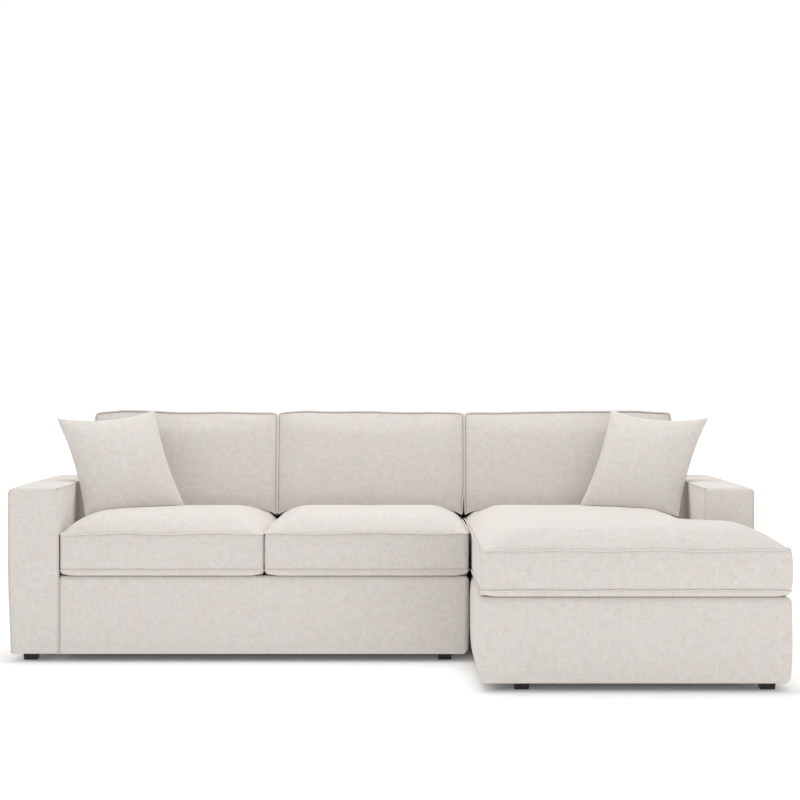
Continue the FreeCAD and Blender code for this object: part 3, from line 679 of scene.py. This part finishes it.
pillows = []
for hand, name in ((-1, "throw_pillow_left"), (1, "throw_pillow_right")):
    vertices, faces, rim = pillow_vertices(PILLOW_CELLS)
    piece = new_piece(name, vertices, faces, pillow_shaded_cloth)
    limits = [0.0 if index in rim else PILLOW_LIMIT for index in range(len(vertices))]
    x, y, z = PILLOW_CENTRE
    pose = (Matrix.Translation((hand * x, y, z)) @ Matrix.Rotation(-hand * PILLOW_TURN, 4, "Z")
            @ Matrix.Rotation(math.pi / 2 - PILLOW_LEAN, 4, "X")
            @ Matrix.Rotation(-hand * PILLOW_ROLL, 4, "Z"))
    pillows.append({"name": name, "hand": hand, "piece": piece, "limits": limits, "pose": pose})

swell([(item["piece"], item["limits"]) for item in cushions + pillows])


# Finish of the boxed cushions

press_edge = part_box("back_cushion_left_cover")[0].y


def press_height(y):
    """How high a seat cushion may stand where the back cushions press on it."""
    share = clamp((y - press_edge + PRESS_START) / PRESS_RUN)
    share = share * share * (3 - 2 * share)
    full = deck + BOTTOM_WELT + SEAT_BOXING + SEAT_CROWN
    return full - share * (full - REST_HEIGHT + 2 * SOFT_GAP)


def seat_surface(point):
    """Height of the seat under the foot of a back cushion, which hangs a little lower between two crowns."""
    near = min(abs(point.x - edge) for edge in seat_ends)
    return REST_HEIGHT - FOOT_DROP * (1 - clamp(near / FOOT_DROP_REACH)) ** 2


for number, item in enumerate(cushions):
    name, seat, piece, kinds = item["name"], item["seat"], item["piece"], item["kinds"]
    thickness, rise = item["thickness"], item["rise"]
    mesh = piece.data
    seed = 11.0 + 7 * number
    high_edge = max(vertex.co.y for vertex in mesh.vertices)

    def by_corner(spot, reach, kinds=kinds):
        """1 at a corner of the outline, falling to 0 at the reach."""
        return max(0.0, 1 - min((spot - place).length for place in kinds["corners"]) / reach)

    def top_wave(spot, seed=seed, size=SEAT_SEAM_WAVE if seat else BACK_SEAM_WAVE):
        return size * (wave(spot, 0.21, seed + 4) + 0.3 * wave(spot, 0.06, seed + 5))

    def bottom_wave(spot, seed=seed):
        return 0.002 * (wave(spot, 0.18, seed + 8) + 0.4 * wave(spot, 0.05, seed + 9))

    for index in kinds["top"]:
        vertex = mesh.vertices[index]
        spot = in_plan(vertex.co)
        height = vertex.co.z - thickness
        if height > 0.9 * rise:
            height = rise * (1 - 0.1 * math.exp(9 - 10 * height / rise))
        share = min(height / rise, 1.0)
        uneven = wave(vertex.co, 0.19, seed) + 0.45 * wave(vertex.co, 0.08, seed + 3)
        uneven *= (SEAT_UNEVENNESS if seat else BACK_UNEVENNESS) * min(1.0, 3 * share)
        pucker = 0.0011 * wave(spot, 0.022, seed) * math.exp(-height / 0.012)
        pucker += top_wave(spot) * math.exp(-height / 0.02)
        vertex.co.z = thickness + min(height + uneven, rise) + pucker
    for index in kinds["side"]:
        vertex = mesh.vertices[index]
        spot = in_plan(vertex.co)
        share = (vertex.co.z - BOTTOM_WELT) / (thickness - BOTTOM_WELT)
        depth = min(thickness - vertex.co.z, vertex.co.z - BOTTOM_WELT) / 0.03
        pucker = 0.0007 * wave(spot, 0.026, seed + 1) * math.exp(-max(depth, 0.0))
        if name == "chaise_cushion" and spot.x > chaise_end - 0.004:
            pucker += CHAISE_END_BULGE * hump(share)
        vertex.co += vertex.normal * (pucker + 0.0009 * wave(vertex.co, 0.12, seed + 2))
        vertex.co.z += share * top_wave(spot) + (1 - share) * bottom_wave(spot)
    rims = {"upper_rim": [], "lower_rim": []}
    for rim in rims:
        lift = Vector((0, 0, 0.5 if rim == "upper_rim" else 0.0))
        for index, outward in zip(kinds[rim], kinds["outward"]):
            vertex = mesh.vertices[index]
            spot = in_plan(vertex.co)
            vertex.co.z += top_wave(spot) if rim == "upper_rim" else bottom_wave(spot)
            stand = WELT_STAND - 0.003 * by_corner(spot, 0.03)
            rims[rim].append(vertex.co + (outward + lift).normalized() * stand)
            vertex.co -= vertex.normal * SEAM_DEPTH
    if seat:
        for vertex in mesh.vertices:
            if vertex.co.z < BOTTOM_WELT - 0.004:
                lift = SEAT_CORNER_LIFT * by_corner(in_plan(vertex.co), 0.045) ** 1.5
                vertex.co.z += lift * (1 - vertex.co.z / BOTTOM_WELT)
    else:
        ends = item["areas"][0][:2]
        for point in [vertex.co for vertex in mesh.vertices] + rims["upper_rim"] + rims["lower_rim"]:
            inner = min(1.0, min(point.x - ends[0], ends[1] - point.x) / 0.12)
            sway = BACK_SWAY * inner * wave((point.x, 0.3 * point.z, 0), 0.24, seed + 6)
            sway -= 0.003 * (1 - inner)
            point.y += sway * max(point.y, 0) / high_edge
    for vertex in mesh.vertices:
        vertex.co = item["pose"] @ vertex.co

    def settle(point, seat=seat):
        return min(point.z, press_height(point.y)) if seat else max(point.z, seat_surface(point) + SOFT_GAP)

    subdivide(piece)
    mesh = piece.data
    for vertex in mesh.vertices:
        vertex.co.z = settle(vertex.co)
    mesh.update()
    lay_weave(piece, item["pose"])
    attach(piece, name, name + "_cover", name + "_core")
    cover_low, cover_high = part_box(name + "_cover")
    for (rim, points), label in zip(rims.items(), ("top", "bottom") if seat else ("front", "rear")):
        path = []
        for point in points:
            point = item["pose"] @ point
            if name.startswith("seat"):
                point.x = max(point.x, cover_low.x + WELT_INSET)
                if name == "seat_cushion_left":
                    point.x = min(point.x, cover_high.x - WELT_INSET)
            height = settle(point)
            if not seat:
                height = max(height, seat_surface(point) + SOFT_GAP + WELT)
            path.append(Vector((point.x, point.y, height)))
        welt = cord_mesh("%s_%s_welt" % (name, label), path, WELT, True)
        attach(welt, name)


# Throw pillows, creased and settled on the seat

bpy.context.view_layer.update()
for item in pillows:
    piece = item["piece"]
    mesh = piece.data
    seed = 61.0 + item["hand"]
    seat_name = "seat_cushion_left" if item["hand"] < 0 else "chaise_cushion"
    seat_piece = next(cushion["piece"] for cushion in cushions if cushion["name"] == seat_name)
    tree = BVHTree.FromObject(seat_piece, bpy.context.evaluated_depsgraph_get())
    world = seat_piece.matrix_world
    for vertex in mesh.vertices:
        x, y, z = vertex.co
        full = abs(z) / PILLOW_DEPTH
        corner = (abs(x) * abs(y) / (PILLOW_SIDE / 2) ** 2) ** 1.5
        ray = math.atan2(abs(y), abs(x)) * 2
        crease = 0.0035 * corner * math.sin(ray * 9 + 2 * wave((x, y, 0), 0.05, seed))
        uneven = 0.003 * wave((x, y, 0), 0.13, seed) * min(1.0, 2 * full)
        if abs(z) > 1e-6:
            vertex.co.z += math.copysign((crease + uneven) * min(1.0, 3 * full), z)
    subdivide(piece)
    mesh = piece.data
    for vertex in mesh.vertices:
        point = item["pose"] @ vertex.co
        hit = tree.ray_cast(world.inverted() @ Vector((point.x, point.y, 2.0)), Vector((0, 0, -1)))[0]
        if hit is not None:
            point.z = max(point.z, (world @ hit).z + PILLOW_GAP)
        vertex.co = point
    mesh.update()
    lay_weave(piece, item["pose"])
    attach(piece, item["name"], item["name"] + "_cover", item["name"] + "_insert")


# Panelled boxes: arms and back rests

def finish_panels(name, vertices, faces, seam_shades):
    piece = new_piece(name, vertices, faces, upholstery)
    paint_seam_shade(piece, seam_shades)
    face_outwards(piece)
    subdivide(piece)
    lay_weave(piece)
    return piece


def edge_lines(low, high, low_round, high_round, stops):
    """Grid lines along one side of a soft box, close together over its rounded edges."""
    start = [low + offset for offset in EDGE_ROWS if offset < low_round - 0.001]
    end = [high - offset for offset in reversed(EDGE_ROWS) if offset < high_round - 0.001]
    first, last = low + low_round, high - high_round
    inner = sorted([first, last] + [stop for stop in stops if first < stop < last])
    return start + lines(inner, PANEL_CELL) + end


def soft_box(name, low, high, rounds, shape, crisp=lambda turn: 0.0):
    """Box whose edges are rounded by their own radii, open underneath inside its hem; shape moves each point.

    crisp says from 0 to 1 how nearly square an edge is, from the directions in which it turns.
    """
    axes = []
    for axis in range(3):
        stops = (low[axis] + ARM_HEM, high[axis] - ARM_HEM) if axis < 2 else ()
        axes.append(edge_lines(low[axis], high[axis], *rounds[axis], stops))
    counts = [len(marks) - 1 for marks in axes]
    index_of, vertices, faces, seam_shades = {}, [], [], []

    def vertex(i, j, k):
        key = (i, j, k)
        if key not in index_of:
            point = [axes[axis][key[axis]] for axis in range(3)]
            turn, inner = [], []
            for axis in range(3):
                r_low, r_high = rounds[axis]
                flat = min(max(point[axis], low[axis] + r_low), high[axis] - r_high)
                inner.append(flat)
                turn.append((point[axis] - flat) / (r_low if point[axis] < flat else r_high))
            reach = sorted(rounds[axis][turn[axis] > 0] * (1 - abs(turn[axis])) if turn[axis] else 1.0
                           for axis in range(3))[1]
            # Painted shade along the crisp seamed edges
            seam_shades.append(1.0 if reach < EDGE_ROWS[1] + 0.0001 and crisp(turn) > 0.5 else 0.0)
            power = 2 + 8 * crisp(turn)
            length = sum(abs(t) ** power for t in turn) ** (1 / power)
            rounded = [inner[axis] + rounds[axis][turn[axis] >= 0] * turn[axis] / length for axis in range(3)]
            index_of[key] = len(vertices)
            vertices.append(shape(Vector(rounded)))
        return index_of[key]

    for fixed in range(3):
        a, b = [axis for axis in range(3) if axis != fixed]
        for side in (0, counts[fixed]):
            for m in range(counts[a]):
                for n in range(counts[b]):
                    if fixed == 2 and side == 0:
                        middle = ((axes[0][m] + axes[0][m + 1]) / 2, (axes[1][n] + axes[1][n + 1]) / 2)
                        if all(low[axis] + ARM_HEM < middle[axis] < high[axis] - ARM_HEM for axis in (0, 1)):
                            continue
                    ring = []
                    for p, q in ((m, n), (m + 1, n), (m + 1, n + 1), (m, n + 1)):
                        key = [0, 0, 0]
                        key[fixed], key[a], key[b] = side, p, q
                        ring.append(vertex(*key))
                    faces.append(tuple(ring))
    return finish_panels(name, vertices, faces, seam_shades)


for hand, side, unit in ((-1, "left", "loveseat"), (1, "right", "chaise")):
    low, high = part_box(side + "_arm_cover")
    outer = low.x if hand < 0 else high.x
    inner = high.x if hand < 0 else low.x
    x_rounds = (SOFT_EDGE, SEAMED_EDGE) if hand < 0 else (SEAMED_EDGE, SOFT_EDGE)

    def seamed(turn, hand=hand):
        """The inner edges and the upright outer one are seamed and square; the others are soft."""
        outwards = turn[0] * hand
        if outwards < 0:
            return 1.0
        if outwards > 0:
            return 0.5 if turn[2] < 0 else 1.0 - min(turn[2], 1.0)
        return 0.0

    def arm_shape(point, low=low, high=high, outer=outer, hand=hand):
        share_x, share_y, share_z = shares(point, low, high)
        near_outer = max(0.0, 1 - abs(point.x - outer) / 0.09)
        point.x -= hand * ARM_DRAW * (1 - min(share_z / 0.55, 1.0)) ** 1.3 * near_outer
        swelling = PANEL_BULGE * hump(share_y) * hump(share_z) + 0.0012 * wave(point, 0.2, 21.0)
        point.x += hand * near_outer * swelling
        if share_z > 0.9:
            point.z += PANEL_BULGE * hump(share_x) * hump(share_y) + 0.0012 * wave(point, 0.17, 22.0)
        if share_y < 0.1:
            point.y -= PANEL_BULGE * hump(share_x) * hump(share_z)
        return point

    arm = soft_box(side + "_arm", low, high, (x_rounds, (SOFT_EDGE, SOFT_EDGE), (UNDER_EDGE, SOFT_EDGE)),
                   arm_shape, seamed)
    attach(arm, unit + "_unit", side + "_arm_cover", side + "_arm_wadding")
    for place, x in (("inner", inner + hand * INNER_SEAM_INSET), ("outer", outer - hand * OUTER_SEAM_INSET)):
        path = []
        top = high.z - 0.0010 if place == "inner" else high.z - 0.016
        if place == "inner":
            for y in lines([high.y - 0.02, low.y + 0.019], PANEL_CELL * 1.5):
                path.append(Vector((x, y, top)))
            for step in range(1, 6):
                angle = math.pi / 2 * step / 6
                path.append(Vector((x, low.y + 0.001 + ARM_SEAM_BEND * (1 - math.sin(angle)),
                                    top - ARM_SEAM_BEND * (1 - math.cos(angle)))))
            top -= 0.019
        for z in lines([top, low.z + 0.006], PANEL_CELL * 1.5):
            path.append(Vector((x, low.y + 0.0004, z)))
        path = [arm_shape(point) for point in path]
        seam = cord_mesh("%s_arm_%s_seam" % (side, place), path, SEAM, False)
        attach(seam, unit + "_unit")

for unit, joint_side in (("loveseat", 1), ("chaise", -1)):
    low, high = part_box(unit + "_back_cover")

    def back_shape(point, low=low, high=high, joint_side=joint_side):
        share_x, share_y, share_z = shares(point, low, high)
        lean_y = max(point.z - deck, 0.0) * math.tan(RECLINE)
        bulge = 0.0
        if share_y > 0.9:
            bulge = PANEL_BULGE * hump(share_x) * hump(share_z) + 0.0015 * wave(point, 0.22, 31.0)
        point.y += lean_y * (1 - share_y) + bulge
        joint = (point.x - (high.x if joint_side > 0 else low.x)) * joint_side
        if joint > -0.012:
            point.x += joint_side * 0.003 * hump((high.y - point.y) / (high.y - low.y)) * hump(share_z)
        if share_z > 0.95:
            point.z += 0.0012 * wave(point, 0.18, 33.0)
        return point

    back = soft_box(unit + "_back", low, high, BACK_ROUNDS, back_shape)
    attach(back, unit + "_unit", unit + "_back_cover", unit + "_back_wadding")


# Bases: upholstered panels swept round each outline, with deck cloth on top and dust cloth underneath

def rounded_outline(corners, radii):
    """Points round an outline, anticlockwise, with outward normals; inner and straight corners stay sharp."""
    points = []
    count = len(corners)
    for index in range(count):
        corner = Vector(corners[index])
        arrive = (corner - Vector(corners[index - 1])).normalized()
        leave = Vector(corners[(index + 1) % count]) - corner
        run = leave.length
        leave.normalize()
        normal_in = Vector((arrive.y, -arrive.x))
        normal_out = Vector((leave.y, -leave.x))
        turning = arrive.x * leave.y - arrive.y * leave.x
        radius = radii[index]
        if turning > 0.5:
            centre = corner - (normal_in + normal_out) * radius
            for step in range(6):
                angle = math.pi / 2 * step / 5
                direction = normal_in * math.cos(angle) + normal_out * math.sin(angle)
                points.append((centre + direction * radius, direction))
        else:
            radius = 0.0
            points.append((corner, (normal_in + normal_out) if turning < -0.5 else normal_out))
        following = radii[(index + 1) % count]
        straight = run - radius - following
        number = max(1, round(straight / PANEL_CELL))
        for step in range(1, number):
            points.append((corner + leave * (radius + straight * step / number), normal_out))
    return points


def panelled_base(unit, corners, radii, puff, seam_shade=lambda point: 0.0):
    """Cover swept round the outline, rolled over on top, turned under below and drawn in low at the sides."""
    outline = rounded_outline(corners, radii)
    low_z, high_z, r = base_low, base_top, BASE_ROUND
    quarter = [math.pi / 2 * step / 4 for step in range(5)]
    profile = [(HEM, high_z - 0.0012), (HEM - 0.004, high_z), ((HEM + r) / 2, high_z)]
    profile += [(r - r * math.sin(angle), high_z - r + r * math.cos(angle)) for angle in quarter]
    stops = [low_z + height for height in (FOOT_ROUND, 0.013, SIDE_ROUND, 0.030)]
    profile += [(0.0, z) for z in reversed(lines(stops + [high_z - r], PANEL_CELL)[1:-1])]
    profile += [(FOOT_ROUND * (1 - math.cos(angle)), low_z + FOOT_ROUND * (1 - math.sin(angle)))
                for angle in quarter]
    profile += [(HEM - 0.015, low_z), (HEM, low_z + 0.0015)]
    vertices, seam_shades = [], []
    for inset, z in profile:
        share = (z - low_z) / (high_z - low_z)
        for point, normal in outline:
            side = hump(share) if inset < r else 0.0
            bulge = (puff(point, normal) + 0.0012 * wave((point.x, point.y, z), 0.17, 41.0)) * side
            taper = 0.0
            if inset < HEM - 0.016:
                near_foot = max(0.0, 1 - (z - low_z) / SIDE_ROUND)
                taper = SIDE_ROUND * (1 - math.sqrt(1 - near_foot ** 2))
                taper += SIDE_DRAW * max(0.0, 1 - (z - low_z) / 0.08)
            spot = point + normal * (bulge - inset - taper * abs(normal.x))
            vertices.append(Vector((spot.x, spot.y, z)))
            # Painted shade along a seam, from the function passed in, on the panel's face only
            seam_shades.append(seam_shade(point) if inset < r else 0.0)
    count = len(outline)
    faces = bands([range(first, first + count) for first in range(0, len(vertices), count)])
    base = finish_panels(unit + "_base", vertices, faces, seam_shades)
    attach(base, unit + "_unit", unit + "_base_cover", unit + "_base_wadding")


def stretched_sheet(unit, name, node, areas, z, sag, material):
    """Cloth stretched over one or more rectangles, with a slight sag between its edges."""
    vertices, faces = [], []
    index_of = {}
    for x0, x1, y0, y1 in areas:
        xs = lines([x0, x1], 0.05)
        ys = lines([y0, y1], 0.05)
        for x in xs:
            for y in ys:
                key = (round(x, 5), round(y, 5))
                if key not in index_of:
                    index_of[key] = len(vertices)
                    depth = ramp(min(x - x0, x1 - x, y - y0, y1 - y), 0.2)
                    vertices.append(Vector((x, y, z + sag * depth + 0.0004 * wave((x, y, 0), 0.1, 51.0))))
        for a, b in zip(xs, xs[1:]):
            for c, d in zip(ys, ys[1:]):
                ring = ((a, c), (b, c), (b, d), (a, d))
                faces.append([index_of[round(x, 5), round(y, 5)] for x, y in ring])
    sheet = new_piece(unit + name, vertices, faces, material)
    lay_weave(sheet)
    attach(sheet, unit + "_unit", unit + node)


love_low, love_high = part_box("loveseat_base_cover")
chaise_low, chaise_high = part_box("chaise_base_cover")
base_low, base_top = love_low.z, love_high.z
rear = seat_rear + TUCK


def loveseat_puff(point, normal):
    """The front panel is drawn into the seam beside the arm and runs on behind the arm, out of sight."""
    if normal.y > -0.9:
        return 0.0
    beside = (point.x - love_low.x) / 0.012
    return -0.004 if beside < -0.1 else 0.003 - 0.006 * math.exp(-beside)


loveseat_outline = [(love_low.x + offset, love_low.y) for offset in (-TUCK, -0.004, 0.0, 0.004, 0.010)]
loveseat_outline += [(love_high.x, love_low.y), (love_high.x, rear), (love_low.x - TUCK, rear)]
# The last argument paints shade along the seam where the front panel meets the left arm
panelled_base("loveseat", loveseat_outline, (0.001, 0.0, 0.0, 0.0, 0.0, BASE_ROUND, 0.001, 0.001),
              loveseat_puff,
              lambda point: 1.0 if abs(point.x - love_low.x) < 0.005 and point.y < 0 else 0.0)


def chaise_puff(point, normal):
    if normal.x < -0.9:
        return 0.0068 if point.y < arm_low.y else 0.0
    return 0.003


tucked_x, before_arm = arm_low.x + TUCK, arm_low.y - 0.001
chaise_outline = [(chaise_low.x, chaise_low.y), (chaise_high.x, chaise_low.y), (chaise_high.x, before_arm),
                  (tucked_x, before_arm), (tucked_x, rear), (chaise_low.x, rear)]
panelled_base("chaise", chaise_outline, (BASE_ROUND, BASE_ROUND, 0.006, 0.001, 0.001, 0.001), chaise_puff)

for unit, side in (("loveseat", "left"), ("chaise", "right")):
    low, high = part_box(unit + "_deck_cloth")
    x0, x1, y0, y1 = low.x - CLOTH_TURN, high.x + CLOTH_TURN, low.y - CLOTH_TURN, high.y + CLOTH_TURN
    areas = [(x0, x1, y0, y1)]
    if unit == "chaise":
        corner_x, corner_y = arm_low.x + CLOTH_TURN, arm_low.y + CLOTH_TURN
        areas = [(x0, corner_x, y0, y1), (corner_x, x1, y0, corner_y)]
    stretched_sheet(unit, "_deck", "_deck_cloth", areas, base_top - 0.0016, -0.0005, deck_fabric)
    low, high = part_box(unit + "_dust_cover")
    under_low, under_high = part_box(side + "_arm_cover")
    inset = Vector((ARM_HEM, ARM_HEM, 0))
    under_low, under_high = under_low + inset, under_high - inset
    areas = [(under_low.x, under_high.x, under_low.y, under_high.y)]
    back_edge = arm_high.y - HEM
    if unit == "loveseat":
        areas.append((love_low.x, love_high.x - HEM, love_low.y + HEM, back_edge))
    else:
        areas.append((chaise_low.x + HEM, arm_low.x, chaise_low.y + HEM, back_edge))
        areas.append((arm_low.x, chaise_high.x - HEM, chaise_low.y + HEM, arm_low.y - HEM))
    stretched_sheet(unit, "_dust_cloth", "_dust_cover", areas, (low.z + high.z) / 2, 0.0, cambric)


# The carried-over nodes

slot_of = {entry["node"]: entry["material_slot"] for entry in frame["record"]["subparts"]}
for node, piece in frame["nodes"].items():
    for material_slot in piece.material_slots:
        material_slot.material = node_materials[slot_of[node]]


# Studio

FLOOR_REACH = 30.0
# The floor's own glow by its distance from the sofa's outline, which leaves a soft shadow under the edge
FLOOR_GLOW = 0.02
FLOOR_STEPS = ((-0.30, -0.05, 0.10), (-0.10, 0.11, 0.24), (0.3, 1.0, -0.10), (1.2, 4.0, 0.65))
LAMPS = (("overhead", (0.0, 0.8, 4.2), 4.2, 128.0),
         ("left", (-3.6, -3.4, 1.4), 2.4, 7.0),
         ("right", (1.9, -3.6, 1.0), 1.8, 10.5))
LAMP_TARGET = Vector((0, 0.1, 0.4))
CAMERA_PLACE = (0.068, -7.09, 1.006)
CAMERA_LENS = 86.4
CAMERA_SHIFT = -0.02125


def studio():
    ground = bpy.data.meshes.new("floor")
    corners = [(x * FLOOR_REACH, y * FLOOR_REACH, 0) for x, y in ((-1, -1), (1, -1), (1, 1), (-1, 1))]
    ground.from_pydata(corners, [], [(0, 1, 2, 3)])
    floor = new_object("floor", ground)
    material, tree, shader = start_material("floor", 0.7, Emission_Color=(1.0, 1.0, 1.0, 1.0))
    shader.inputs["Base Color"].default_value = (0.78, 0.78, 0.78, 1.0)
    place = add(tree, "ShaderNodeTexCoord").outputs["Object"]
    gaps = []
    left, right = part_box("left_arm_cover")[0].x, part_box("right_arm_cover")[1].x
    for x0, x1, y0 in ((left, right, love_low.y), (chaise_low.x, right, chaise_low.y)):
        centre = Vector(((x0 + x1) / 2, (y0 + arm_high.y) / 2, 0))
        half = Vector(((x1 - x0) / 2, (arm_high.y - y0) / 2, 0))
        size = vector_maths(tree, "ABSOLUTE", vector_maths(tree, "SUBTRACT", place, centre)[0])[0]
        past = vector_maths(tree, "SUBTRACT", size, half)[0]
        outside = vector_maths(tree, "MAXIMUM", past, (0.0, 0.0, 0.0))[0]
        beyond = vector_maths(tree, "LENGTH", outside)["Value"]
        axes = add(tree, "ShaderNodeSeparateXYZ", {0: past}).outputs
        inside = maths(tree, "MINIMUM", maths(tree, "MAXIMUM", axes[0], axes[1]), 0.0)
        gaps.append(plus(tree, beyond, inside))
    away = maths(tree, "MINIMUM", *gaps)
    glow = plus(tree, *(spread(tree, away, start, end, 0.0, change, interpolation_type="SMOOTHSTEP")
                        for start, end, change in FLOOR_STEPS), FLOOR_GLOW)
    tree.links.new(glow, shader.inputs["Emission Strength"])
    ground.materials.append(material)
    world = bpy.data.worlds.new("studio")
    bpy.context.scene.world = world
    world.use_nodes = True
    tree = world.node_tree
    sky = tree.nodes["Background"]
    sky.inputs["Color"].default_value = (1.0, 1.0, 1.0, 1.0)
    generated = add(tree, "ShaderNodeTexCoord").outputs["Generated"]
    toward = add(tree, "ShaderNodeSeparateXYZ", {0: generated}).outputs
    behind = spread(tree, toward[1], 0.1, 0.6, 0.83, 1.05)
    above = spread(tree, toward[2], 0.25, 0.9, 1.0, 0.5)
    tree.links.new(times(tree, behind, above), sky.inputs["Strength"])
    for name, spot, size, energy in LAMPS:
        light = bpy.data.lights.new(name, "AREA")
        light.size = size
        light.energy = energy
        lamp = new_object(name, light)
        lamp.location = spot
        lamp.rotation_euler = (LAMP_TARGET - Vector(spot)).to_track_quat("-Z", "Y").to_euler()
    bpy.context.scene.view_settings.view_transform = "Standard"
    view = bpy.data.cameras.new("camera")
    view.sensor_width = 36.0
    view.lens = CAMERA_LENS
    view.shift_y = CAMERA_SHIFT
    camera = new_object("camera", view)
    camera.location = CAMERA_PLACE
    camera.rotation_euler = (math.pi / 2, 0.0, 0.0)
    bpy.context.scene.camera = camera


studio()
